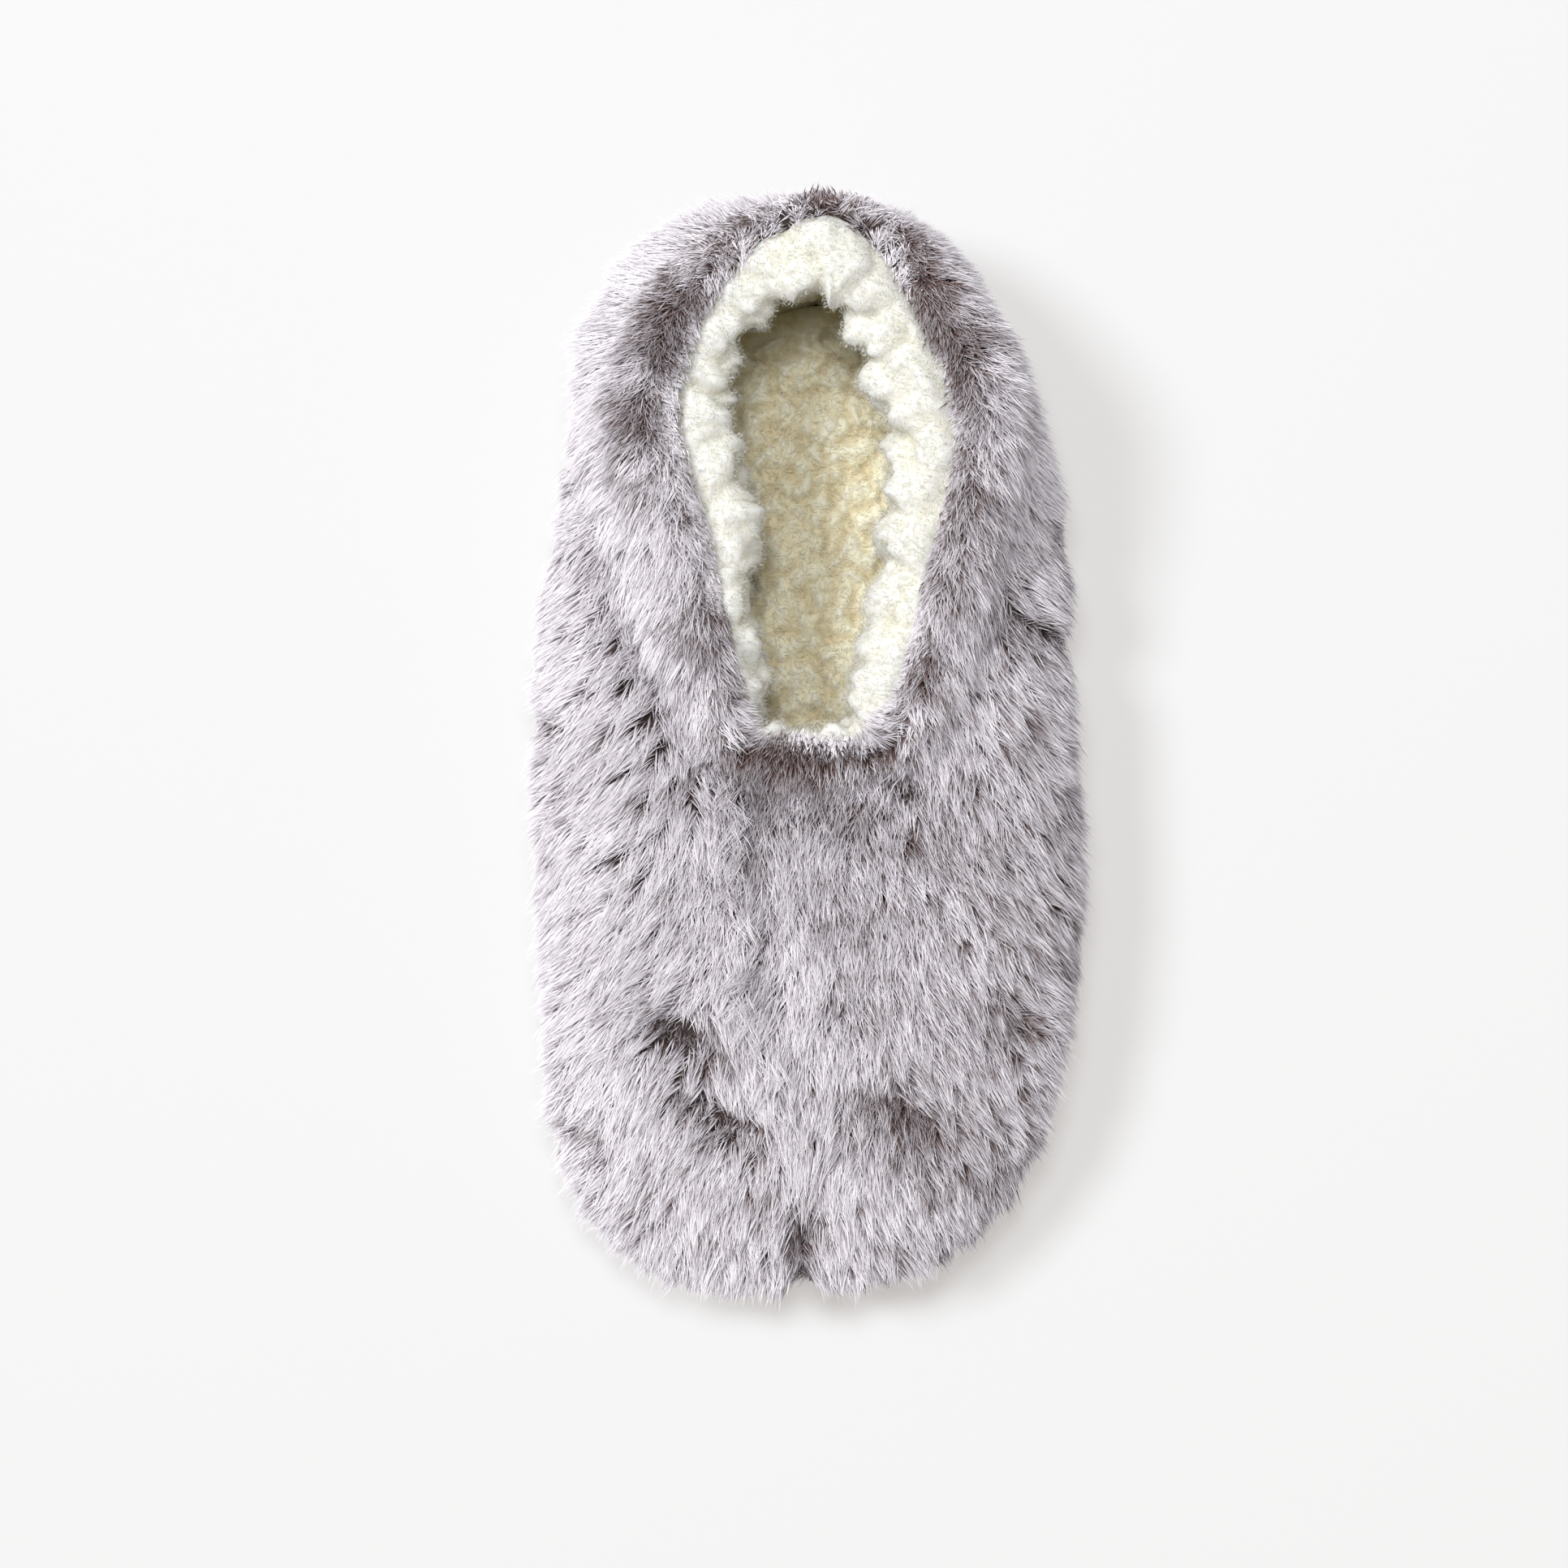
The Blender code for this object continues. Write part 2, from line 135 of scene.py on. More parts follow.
COLLAR_TRIM = (
    CollarTrim("toe", 1.00, 0.48, 0.54, 0.80, 3.8, 0.3, 0.0, 0.0),
    CollarTrim("toe_left", 1.00, 0.48, 0.48, 0.90, 6.8, 0.3, 0.0, 0.0),
    CollarTrim("ball_front_left", 0.75, 0.48, 0.26, 1.00, 9.5, 0.3, 0.0, -1.0),
    CollarTrim("ball_left", 0.40, 0.58, 0.18, 0.94, 5.6, 0.3, 0.0, -2.0),
    CollarTrim("waist_left", 0.45, 0.55, 0.17, 0.86, 3.2, 0.3, 0.0, -1.8),
    CollarTrim("mid_left", 0.65, 0.56, 0.18, 0.80, 3.0, 0.3, 0.0, -0.8),
    CollarTrim("heel_left", 0.90, 0.48, 0.19, 0.71, 3.2, 0.3, 0.0, -1.2),
    CollarTrim("heel_back_left", 1.00, 0.46, 0.20, 0.68, 4.2, 0.2, 0.5, -1.6),
    CollarTrim("heel_back", 0.85, 0.28, 0.18, 0.44, 3.0, -0.6, 4.2, 0.0),
    CollarTrim("heel_back_right", 1.00, 0.57, 0.20, 0.74, 3.2, 0.2, 0.5, 2.0),
    CollarTrim("heel_right", 1.00, 0.63, 0.22, 0.82, 3.0, 0.3, 0.0, 1.0),
    CollarTrim("mid_right", 0.65, 0.66, 0.18, 0.90, 3.4, 0.3, 0.0, -1.8),
    CollarTrim("waist_right", 0.35, 0.60, 0.16, 0.94, 4.0, 0.3, 0.0, -1.0),
    CollarTrim("ball_right", 0.35, 0.58, 0.18, 0.92, 4.6, 0.3, 0.0, 1.6),
    CollarTrim("ball_front_right", 0.70, 0.50, 0.24, 1.00, 8.8, 0.3, 0.0, 1.6),
    CollarTrim("toe_right", 1.00, 0.48, 0.48, 0.88, 6.2, 0.3, 0.0, 0.6),
)


class Crease(NamedTuple):
    """A soft trough or ridge in the fur, from start to end on the plan, in millimetres.

    width is its half width and depth how deep it is, negative for a ridge. lean is how strongly
    strands lean away from it, negative towards it. bare is the share of the pile that it loses,
    negative where the pile is longer and paler. The same share darkens the strands: at a parting
    that is the dark roots showing, and in a fold it is painted shade. Where it is negative, on a
    ridge, the paler tone is partly the longer pale tips and partly a painted highlight.
    """

    place: str
    start: tuple[float, float]
    end: tuple[float, float]
    width: float
    depth: float
    lean: float
    bare: float

    def away(self, points: Array) -> Array:
        """The way on the plan from the nearest point of the crease's line to each point, in metres.

        Args:
            points: The points.

        Returns:
            A way on the plan for each point.
        """
        start, end = np.array(self.start) * MM, np.array(self.end) * MM
        line = end - start
        share = np.clip((points[..., :2] - start) @ line / (line @ line), 0.0, 1.0)
        return points[..., :2] - start - share[..., None] * line

    def near(self, points: Array) -> Array:
        """How near each point is to the crease's line on the plan: a bell across it."""
        return bell(np.linalg.norm(self.away(points), axis=-1), self.width * MM)


CREASES = (
    Crease("vamp ridge, upper", (-17.6, -8.8), (-15.7, -54.6), 3.2, -1.6, -0.75, -0.26),
    Crease("vamp ridge, lower", (-15.7, -54.6), (-7.1, -80.4), 3.2, -1.4, -0.70, -0.22),
    Crease("left collar fold, heel", (-54.0, 78.0), (-50.5, 56.0), 5.0, 2.6, -0.10, 0.12),
    Crease("left collar fold, waist", (-50.5, 56.0), (-40.5, 29.0), 5.0, 3.0, -0.10, 0.10),
    Crease("left collar fold, throat", (-40.5, 29.0), (-27.0, 4.0), 4.5, 2.6, -0.05, 0.08),
    Crease("left collar roll, heel", (-45.5, 95.0), (-47.0, 66.0), 4.0, -1.6, -0.30, -0.18),
    Crease("left collar roll, waist", (-47.0, 66.0), (-31.5, 24.0), 4.0, -2.0, -0.40, -0.26),
    Crease("vamp whorl", (-29.0, -65.5), (-27.5, -66.0), 5.5, 5.0, 1.75, 0.82),
    Crease("left toe parting", (-25.0, -81.5), (-15.0, -87.5), 4.5, 3.8, 1.40, 0.72),
    Crease("right toe ripple, inner", (11.0, -80.0), (18.0, -79.0), 3.6, 2.0, 0.90, 0.40),
    Crease("right toe ripple, outer", (22.0, -82.0), (27.0, -85.0), 3.6, 1.8, 0.80, 0.30),
    Crease("right toe swell", (8.0, -92.0), (34.0, -96.0), 6.0, -1.4, 0.0, 0.0),
    Crease("toe seam", (-1.3, -108.0), (-1.7, -128.0), 3.2, 3.0, 1.00, 0.65),
    Crease("left toe tuft", (-50.0, -89.0), (-47.0, -91.0), 4.0, 1.6, 0.75, 0.50),
    Crease("right ball tuft", (45.5, -61.0), (47.5, -64.0), 4.0, 1.6, 0.75, 0.45),
    Crease("vamp tuft", (8.0, -57.5), (8.4, -60.0), 3.2, 1.4, 0.70, 0.40),
    Crease("left waist tuft", (-57.0, 6.5), (-56.0, 4.5), 3.5, 1.0, 0.60, 0.40),
    Crease("throat band", (-13.0, -3.5), (11.5, -3.5), 4.0, 0.6, 0.0, 0.20),
    Crease("left throat pinch", (-21.5, -2.0), (-28.0, -6.5), 4.0, 2.2, 0.55, 0.40),
    Crease("right throat pinch", (16.0, -4.5), (23.5, -6.5), 4.0, 1.8, 0.50, 0.38),
    Crease("left heel tuft", (-57.5, 72.0), (-55.5, 69.0), 4.0, 1.2, 0.65, 0.45),
    Crease("left quarter tuft", (-59.5, 54.0), (-57.5, 50.5), 4.0, 1.2, 0.65, 0.40),
    Crease("right quarter tuft", (55.0, 50.5), (57.0, 46.5), 4.5, 1.2, 0.65, 0.40),
    Crease("right quarter fold", (47.0, 30.0), (58.0, 25.0), 4.5, 2.0, 0.70, 0.45),
    Crease("right heel tuft", (41.0, 106.0), (44.0, 101.0), 4.5, 1.4, 0.65, 0.50),
)


def unit(vectors: Array) -> Array:
    """The vectors at unit length."""
    return vectors / np.maximum(np.linalg.norm(vectors, axis=-1, keepdims=True), LEAST_LENGTH)


def square_to(line: Array) -> Array:
    """Level directions out of a closed line round the shoe, square to it on the plan."""
    along = np.roll(line, -1, 0) - np.roll(line, 1, 0)
    return unit(np.column_stack([-along[:, 1], along[:, 0], np.zeros(len(line))]))


def smooth_step(low: float, high: float, value: Array) -> Array:
    """0 below low, 1 above high and smooth between them."""
    share = np.clip((value - low) / (high - low), 0.0, 1.0)
    return share * share * (3.0 - 2.0 * share)


def bell(value: Array, width: float) -> Array:
    """1 where value is 0, falling over width to each side: the exponential of minus its square."""
    return np.exp(-((value / width) ** 2))


def periodic_spline(values: Array, per_span: int) -> Array:
    """The smooth closed curve through values: cubics whose second derivatives agree at each value.

    Args:
        values: The values to pass through, in order round the shoe.
        per_span: Points from each value to the next.

    Returns:
        The points, per_span for each value.
    """
    count = len(values)
    rows = np.arange(count)
    system = np.zeros((count, count))
    system[rows, rows] = 4.0
    system[rows, (rows + 1) % count] = 1.0
    system[rows, (rows - 1) % count] = 1.0
    after = np.roll(values, -1)
    slopes = np.linalg.solve(system, 3.0 * (after - np.roll(values, 1)))
    share = np.arange(per_span)[None] / per_span
    curve = (
        values[:, None] * (2 * share**3 - 3 * share**2 + 1)
        + slopes[:, None] * (share**3 - 2 * share**2 + share)
        + after[:, None] * (3 * share**2 - 2 * share**3)
        + np.roll(slopes, -1)[:, None] * (share**3 - share**2)
    )
    return curve.ravel()


class Waves:
    """Smooth seeded noise: the sum of plane waves in random directions."""

    count = 24
    lengths: Span = (0.7, 1.6)

    def __init__(self, seed: int, length: float, spread: float = 1.0) -> None:
        """Chooses the waves.

        Args:
            seed: Seed of the random choice.
            length: Middle wavelength in metres.
            spread: About how far the noise strays from 0.
        """
        chance = np.random.default_rng(seed)
        turns = 2 * math.pi / (length * chance.uniform(*self.lengths, (self.count, 1)))
        self.waves = unit(chance.normal(size=(self.count, 3))) * turns
        self.phases = chance.uniform(0.0, 2 * math.pi, self.count)
        self.spread = spread

    def __call__(self, points: Array) -> Array:
        """The noise at each point."""
        total = np.sin(points @ self.waves.T + self.phases).sum(-1)
        return self.spread * (total * math.sqrt(2.0 / self.count))


class Florets:
    """Round curls packed over a surface: domes about evenly spread centres, softly joined.

    The join is the logarithm of the sum of exponentials, so the hollows between domes are round.
    """

    sharpness = 9.0
    choices = 9000
    batch = 4096
    top_heights: Span = (0.78, 1.0)
    top_falls: Span = (1.0, 1.7)
    least = 1e-9

    def __init__(self, seed: int, size: float, surface: Array) -> None:
        """Spreads the centres.

        Each next centre is the candidate that is farthest from the ones before, until the farthest
        is nearer than the curls' size.

        Args:
            seed: Seed of the random choice.
            size: How far apart the curls are, in metres.
            surface: Points of the surface, of which some become candidates.
        """
        chance = np.random.default_rng(seed)
        candidates = surface.reshape(-1, 3)[chance.choice(surface.size // 3, self.choices, replace=False)]
        chosen = [0]
        far = np.full(len(candidates), np.inf)
        while far.max() > size:
            far = np.minimum(far, np.linalg.norm(candidates - candidates[chosen[-1]], axis=-1))
            chosen.append(int(far.argmax()))
        self.size = size
        self.centres = candidates[chosen]
        self.tops = chance.uniform(*self.top_heights, len(chosen))
        self.falls = chance.uniform(*self.top_falls, len(chosen))

    def __call__(self, points: Array) -> Array:
        """The joined domes' height at each point, from 0 to 1.

        Args:
            points: Points on or near the surface.

        Returns:
            A height for each point.
        """
        flat = points.reshape(-1, 3) / self.size
        centres = self.centres / self.size
        highest = np.empty(len(flat))
        for start in range(0, len(flat), self.batch):
            part = flat[start : start + self.batch]
            square = (part**2).sum(-1)[:, None] + (centres**2).sum(-1) - 2.0 * part @ centres.T
            domes = np.exp(self.sharpness * (self.tops - self.falls * square))
            highest[start : start + self.batch] = np.log(domes.sum(-1) + self.least) / self.sharpness
        return np.clip(highest, 0.0, 1.0).reshape(points.shape[:-1])


class Salt(float, Enum):
    """What a tuft's random number is for, as a shift that sets it apart from its others."""

    ACROSS = 0.0
    ALONG = 5.3
    ANGLE = 9.1
    LENGTH = 2.7
    BREADTH = 7.9
    TOP = 4.4


class Tufts:
    """Curls pressed flat: tilted domes, softly joined in the same way as the florets.

    The plan is cut into square cells with one tuft each, at a random place in its cell. A tuft is a
    dome over an ellipse of random size, turned about the fleece's nap and tilted along it, so its
    far edge stands a little over the next tuft.
    """

    sharpness = 15.0
    cell_margin = 0.1
    cell_room = 0.8
    nap_angle = -1.75
    angle_spread = 1.6
    half_length = 0.90
    half_breadth = 0.75
    size_spread = 0.3
    top = 0.85
    top_spread = 0.25
    hash_ways = np.array([127.1, 311.7])
    hash_scale = 43758.5453

    def __init__(self, seed: int, fall: float, tilt: float) -> None:
        """Sets the tufts' form.

        Args:
            seed: Seed of the random choice.
            fall: How steeply a dome falls from its middle.
            tilt: How far it tilts, as a share of its height.
        """
        self.seed = seed
        self.fall = fall
        self.tilt = tilt

    def chance(self, cells: Array, salt: Salt) -> Array:
        """A random number from 0 to 1 for each cell: what is left of a sine's far decimals."""
        spread = np.sin(cells @ self.hash_ways + self.seed + salt.value) * self.hash_scale
        return spread - np.floor(spread)

    def __call__(self, places: Array) -> Array:
        """The joined domes' height at each place on the plan, given in cells, from 0 to 1.

        Args:
            places: Places on the plan, in cells.

        Returns:
            A height for each place.
        """
        home = np.floor(places)
        total = np.zeros(places.shape[:-1])
        for step in np.ndindex(3, 3):
            cell = home + np.array(step) - 1
            middle = np.stack([self.chance(cell, Salt.ACROSS), self.chance(cell, Salt.ALONG)], -1)
            away = places - cell - self.cell_margin - self.cell_room * middle
            angle = self.nap_angle + self.angle_spread * (self.chance(cell, Salt.ANGLE) - 0.5)
            along = away[..., 0] * np.cos(angle) + away[..., 1] * np.sin(angle)
            across = away[..., 1] * np.cos(angle) - away[..., 0] * np.sin(angle)
            length = self.half_length + self.size_spread * self.chance(cell, Salt.LENGTH)
            breadth = self.half_breadth + self.size_spread * self.chance(cell, Salt.BREADTH)
            way_out = (along / length) ** 2 + (across / breadth) ** 2
            dome = self.top - self.fall * way_out + self.tilt * along
            dome = dome + self.top_spread * (self.chance(cell, Salt.TOP) - 0.5)
            total += np.exp(self.sharpness * dome)
        return np.clip(np.log(total) / self.sharpness, 0.0, 1.0)


@dataclass
class Last:
    """The form that the solids follow, sampled at the same places round the shoe.

    A section's wall is a cubic curve from the sole's edge to the hem, and the hem is a round bead
    about the collar's line. The toe curls up off the floor.
    """

    sole_length: float = 0.231
    half_ball_width: float = 0.0505
    instep_height: float = 0.045
    heel_height: float = 0.058
    sole_thickness: float = 0.004
    insole_thickness: float = 0.007
    fur_backing: float = 0.0025
    lining_thickness: float = 0.0065
    gap: float = 0.0003
    toe_spring: float = 0.0030
    toe_spring_start: float = -0.40
    spine_ends: Span = (-0.40, 0.36)
    hem_start: float = -30.0
    seam_depth: float = 0.0022
    seam_half_width: float = 0.45
    toe_seam_start: Span = (0.0, 0.1)
    toe_seam_end: Span = (0.18, 0.30)
    heel_seam_start: Span = (0.0, 0.4)
    slope_step: float = 0.01
    level_foot: Span = (0.0, 0.2)
    level_head: Span = (0.6, 0.85)
    per_section: int = 48
    solid_per_section: int = 3

    def __post_init__(self) -> None:
        """Works out the edge, the collar, the wall's control points and the solids' place."""
        self.places = np.arange(len(SECTIONS) * self.per_section) / self.per_section
        self.count = len(self.places)
        self.edge = self.plan_line("edge")
        self.outward = square_to(self.edge)
        rise = (self.heel_height - self.instep_height) * self.column("collar_height")
        self.collar = np.column_stack([self.plan_line("collar"), self.instep_height + rise])
        self.inward = -unit(self.outward + square_to(self.collar))
        self.hem_radius = self.column("hem") * self.instep_height
        self.roll = self.column("roll") * self.instep_height
        self.handles = self.wall_handles()
        low, high = (np.array(corner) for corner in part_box("outsole"))
        solid_edge = self.edge[:: self.per_section // self.solid_per_section]
        middle = (solid_edge.min(0) + solid_edge.max(0)) / 2
        self.shift = np.append(((low + high) / 2)[:2] - middle, 0.0)

    def column(self, name: str, table: tuple = SECTIONS) -> Array:
        """One column of a table of sections, smooth round the shoe."""
        return periodic_spline(np.array([getattr(s, name) for s in table]), self.per_section)

    def plan_line(self, name: str) -> Array:
        """The sole's edge or the collar on the plan, from its columns across and along."""
        across = self.column(name + "_across") * self.half_ball_width
        return np.column_stack([across, self.column(name + "_along") * self.sole_length])

    def wall_handles(self) -> tuple[Array, Array, Array, Array]:
        """The four control points of the wall's curve at each place round the shoe.

        Returns:
            The points at the foot, above it, below the head and at the head.
        """
        foot = np.column_stack([self.edge, np.full(self.count, self.sole_thickness + self.gap)])
        head = self.hem(np.array([self.hem_start]))[0]
        bulge, height, reach, rise = (
            self.column(name)[:, None] * self.instep_height
            for name in ("bulge", "bulge_height", "reach", "rise")
        )
        low = foot + self.outward * bulge + UP * height
        towards_foot = (foot - head) * (1, 1, 0) / self.instep_height
        high = head + unit(self.outward + towards_foot) * reach + UP * rise
        return foot, low, high, head

    def hem(self, turns: Array) -> Array:
        """Rings on the hem's bead, at turns in degrees from straight out.

        Args:
            turns: The turns.

        Returns:
            A ring for each turn.
        """
        angle = np.radians(turns)[:, None, None]
        round_bead = np.cos(angle) * self.outward + np.sin(angle) * UP
        return self.collar + self.hem_radius[:, None] * round_bead

    def wall(self, heights: Array) -> Array:
        """Rings on the wall's curve, at heights from 0 at the sole to 1 at the hem.

        It is the cubic curve that the four control points set, drawn in by the seams.

        Args:
            heights: The heights.

        Returns:
            A ring for each height.
        """
        t = np.asarray(heights, float).reshape(-1, 1, 1)
        foot, low, high, head = self.handles
        rings = (
            foot * (1 - t) ** 3
            + low * 3 * (1 - t) ** 2 * t
            + high * 3 * (1 - t) * t**2
            + head * t**3
        )
        return rings - self.outward * self.seam_pull(t)

    def seam_pull(self, t: Array) -> Array:
        """How far the toe and heel seams draw the wall in, at heights t.

        Each seam's pull is a bell round the shoe, with a smooth start and end up the wall.

        Args:
            t: The heights, as a column that spreads over the rings.

        Returns:
            The pull in metres.
        """
        toe = np.minimum(self.places, len(SECTIONS) - self.places)[:, None]
        heel = np.abs(self.places - len(SECTIONS) / 2)[:, None]
        toe_pull = bell(toe, self.seam_half_width) * smooth_step(*self.toe_seam_start, t)
        toe_pull = toe_pull * (1 - smooth_step(*self.toe_seam_end, t))
        heel_pull = bell(heel, self.seam_half_width) * smooth_step(*self.heel_seam_start, t)
        return self.seam_depth * (toe_pull + heel_pull)

    def normals(self, heights: Array) -> Array:
        """Outward normals of the wall, level at the sole's edge and where it overhangs at the hem.

        A normal is the cross product of the ways up and round the wall.

        Args:
            heights: The heights.

        Returns:
            A ring of normals for each height.
        """
        heights = np.asarray(heights, float)
        rings = self.wall(heights)
        above, below = (np.clip(heights + step, 0, 1) for step in (self.slope_step, -self.slope_step))
        up_wall = self.wall(above) - self.wall(below)
        round_wall = np.roll(rings, -1, 1) - np.roll(rings, 1, 1)
        normal = unit(np.cross(up_wall, round_wall))
        level = heights[:, None]
        normal[..., 2] *= smooth_step(*self.level_foot, level)
        normal[..., 2] -= np.minimum(normal[..., 2], 0.0) * smooth_step(*self.level_head, level)
        return unit(normal)

    def inside(self, heights: Array, depth: Array) -> Array:
        """Rings at a depth inside the wall, along its normals."""
        depth = np.broadcast_to(depth, (len(heights), self.count))[..., None]
        return self.wall(heights) - self.normals(heights) * depth

    def plan_inset(self, inset: float, level: float) -> Array:
        """The sole's edge moved in by an inset, at one level."""
        moved = self.edge - self.outward[:, :2] * inset
        return np.column_stack([moved, np.full(self.count, level)])

    def towards_spine(self, ring: Array, shares: Array) -> Array:
        """Rings drawn from one ring towards the sole's middle line, by each of the shares.

        Args:
            ring: The ring to start from.
            shares: How far to go, from 0 at the ring to 1 at the line.

        Returns:
            A ring for each share.
        """
        start, end = (share * self.sole_length for share in self.spine_ends)
        spine = np.column_stack([np.zeros(len(ring)), np.clip(ring[:, 1], start, end), ring[:, 2]])
        return ring + (spine - ring) * np.asarray(shares, float).reshape(-1, 1, 1)

    def placed(self, points: Array) -> Array:
        """Points lifted by the toe's spring and moved to the solids' place.

        The spring rises with the square of the way past its start.

        Args:
            points: Points of the form.

        Returns:
            The points in the frame.
        """
        start = self.toe_spring_start * self.sole_length
        end = min(s.edge_along for s in SECTIONS) * self.sole_length
        share = np.clip((points[..., 1] - start) / (end - start), 0.0, 1.0)
        return points + self.shift + UP * (self.toe_spring * share**2)[..., None]


def grid_faces(rows: int, columns: int, closed: bool) -> Array:
    """Quads of a grid that closes round its columns, facing out where rows run up the wall.

    Args:
        rows: Rings in the grid.
        columns: Points in a ring.
        closed: Whether the last ring joins the first.

    Returns:
        Four point numbers for each quad.
    """
    row = np.arange(rows if closed else rows - 1)[:, None]
    column = np.arange(columns)[None]
    next_row = (row + 1) % rows
    next_column = (column + 1) % columns
    corners = (
        row * columns + column,
        next_row * columns + column,
        next_row * columns + next_column,
        row * columns + next_column,
    )
    return np.stack(corners, -1).reshape(-1, 4)


def unfolded(points: Array, quads: Array) -> tuple[Array, Array]:
    """A grid's quads, with a triangle in place of each quad that has two corners at one point.

    Args:
        points: The grid, some of whose rings end in one point.
        quads: Four point numbers for each quad.

    Returns:
        The quads that stay and the triangles.
    """
    corners = points.reshape(-1, 3)[quads]
    ahead, behind = (
        np.linalg.norm(corners[:, first] - corners[:, second], axis=-1) < SAME_POINT
        for first, second in ((1, 2), (0, 3))
    )
    triangles = np.concatenate([quads[ahead][:, [0, 1, 3]], quads[behind][:, [0, 1, 2]]])
    return quads[~(ahead | behind)], triangles


def grid_normals(points: Array) -> Array:
    """Normals of a grid that closes round its columns: the cross product of its two directions.

    Args:
        points: The grid.

    Returns:
        A unit normal for each point.
    """
    up_rows = np.gradient(points, axis=0)
    round_columns = np.roll(points, -1, 1) - np.roll(points, 1, 1)
    return unit(np.cross(up_rows, round_columns))


def strand_faces(count: int) -> Array:
    """Two triangles for each of count strands, whose points are a root, two at the middle and a tip."""
    first = np.arange(count)[:, None] * 4
    return np.concatenate([first + (0, 1, 2), first + (2, 1, 3)])


def even_choice(points: Array, rows: tuple[int, int], count: int, seed: int) -> tuple[Array, Array]:
    """Random points of a grid, chosen in proportion to the area round each.

    Args:
        points: The grid, which closes round its columns.
        rows: The first row to choose from and the row after the last.
        count: How many points to choose.
        seed: Seed of the random choice.

    Returns:
        Their rows and their columns.
    """
    low, high = rows
    up_rows = np.gradient(points, axis=0)[low:high]
    round_columns = (np.roll(points, -1, 1) - points)[low:high]
    area = np.linalg.norm(np.cross(up_rows, round_columns), axis=-1)
    chosen = np.random.default_rng(seed).choice(area.size, count, p=area.ravel() / area.sum())
    return low + chosen // points.shape[1], chosen % points.shape[1]


def add_piece(
    name: str,
    points: Array,
    faces: tuple[Array, ...],
    material: bpy.types.Material,
    uv: Array | None = None,
    values: dict[str, Array] | None = None,
) -> bpy.types.Object:
    """A mesh piece of the slipper, riding on its body.

    Args:
        name: The piece's name.
        points: Its points.
        faces: Arrays of point numbers, each for faces with the same number of corners.
        material: Its finish.
        uv: A place on the bake map for each point.
        values: Named values for each point, which its finish reads.

    Returns:
        The piece's object.
    """
    mesh = bpy.data.meshes.new(name)
    corners = np.concatenate([part.ravel() for part in faces]).astype(np.int32)
    sizes = np.concatenate([np.full(len(part), part.shape[1]) for part in faces])
    mesh.vertices.add(len(points))
    mesh.vertices.foreach_set("co", points.astype(np.float32).ravel())
    mesh.loops.add(len(corners))
    mesh.loops.foreach_set("vertex_index", corners)
    mesh.polygons.add(len(sizes))
    mesh.polygons.foreach_set("loop_start", (np.cumsum(sizes) - sizes).astype(np.int32))
    mesh.update(calc_edges=True)
    mesh.shade_smooth()
    if uv is not None:
        layer = mesh.uv_layers.new(name=BAKE_MAP)
        layer.uv.foreach_set("vector", uv[corners].astype(np.float32).ravel())
    for key, numbers in (values or {}).items():
        attribute = mesh.attributes.new(key, "FLOAT", "POINT")
        attribute.data.foreach_set("value", numbers.astype(np.float32).ravel())
    mesh.materials.append(material)
    piece = bpy.data.objects.new(name, mesh)
    bpy.context.scene.collection.objects.link(piece)
    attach(piece, BODY)
    log.info("%s: %d triangles", name, int((sizes - 2).sum()))
    return piece


class Nodes:
    """A material's node tree, with short calls to add and join its nodes."""

    def __init__(self, tree: bpy.types.NodeTree) -> None:
        """Takes the tree to build in."""
        self.tree = tree

    def add(self, kind: str, settings: dict | None = None, **inputs) -> bpy.types.Node:
        """Adds a node.

        Args:
            kind: The node's type without its ShaderNode prefix.
            settings: Properties of the node itself.
            inputs: Its inputs by name, with spaces as underscores: a value or a socket to join.

        Returns:
            The node.
        """
        node = self.tree.nodes.new("ShaderNode" + kind)
        for key, value in (settings or {}).items():
            setattr(node, key, value)
        self.set(node, **inputs)
        return node

    def set(self, node: bpy.types.Node, **inputs) -> None:
        """Sets a node's inputs, named with spaces as underscores, to values or joins sockets to them."""
        for key, value in inputs.items():
            self.join(value, self.find(node, key))

    @staticmethod
    def find(node: bpy.types.Node, key: str) -> bpy.types.NodeSocket:
        """The enabled input of a node with a name, or with a number after an underscore.

        Args:
            node: The node.
            key: The input's name or number.

        Returns:
            The input.
        """
        if key.startswith("_"):
            return node.inputs[int(key[1:])]
        name = key.replace("_", " ")
        return next(s for s in node.inputs if s.name == name and s.enabled)

    def join(self, value, socket: bpy.types.NodeSocket) -> None:
        """Joins a socket to an input, or sets the input's own value.

        Args:
            value: A value or a socket.
            socket: The input.
        """
        if isinstance(value, bpy.types.NodeSocket):
            self.tree.links.new(value, socket)
        else:
            socket.default_value = value

    def math(self, operation: str, first, second=0.0) -> bpy.types.NodeSocket:
        """The result of a sum on two values or sockets."""
        return self.add("Math", {"operation": operation}, _0=first, _1=second).outputs[0]

    def ramp(self, factor: bpy.types.NodeSocket, stops: tuple) -> bpy.types.NodeSocket:
        """Colours along a factor, from stops of a place and a colour.

        Args:
            factor: The socket to follow.
            stops: Places from 0 to 1, each with its colour.

        Returns:
            The colour's socket.
        """
        node = self.add("ValToRGB", Fac=factor)
        elements = node.color_ramp.elements
        for place, _ in stops[2:]:
            elements.new(place)
        for element, (place, colour) in zip(elements, stops):
            element.position = place
            element.color = (*colour, 1.0)
        return node.outputs["Color"]


def new_material(name: str) -> tuple[bpy.types.Material, Nodes, bpy.types.Node]:
    """An empty material, its nodes and its Principled shader.

    Args:
        name: The material's name.

    Returns:
        The material, its nodes and the shader.
    """
    material = bpy.data.materials.new(name)
    material.use_nodes = True
    nodes = Nodes(material.node_tree)
    return material, nodes, material.node_tree.nodes["Principled BSDF"]


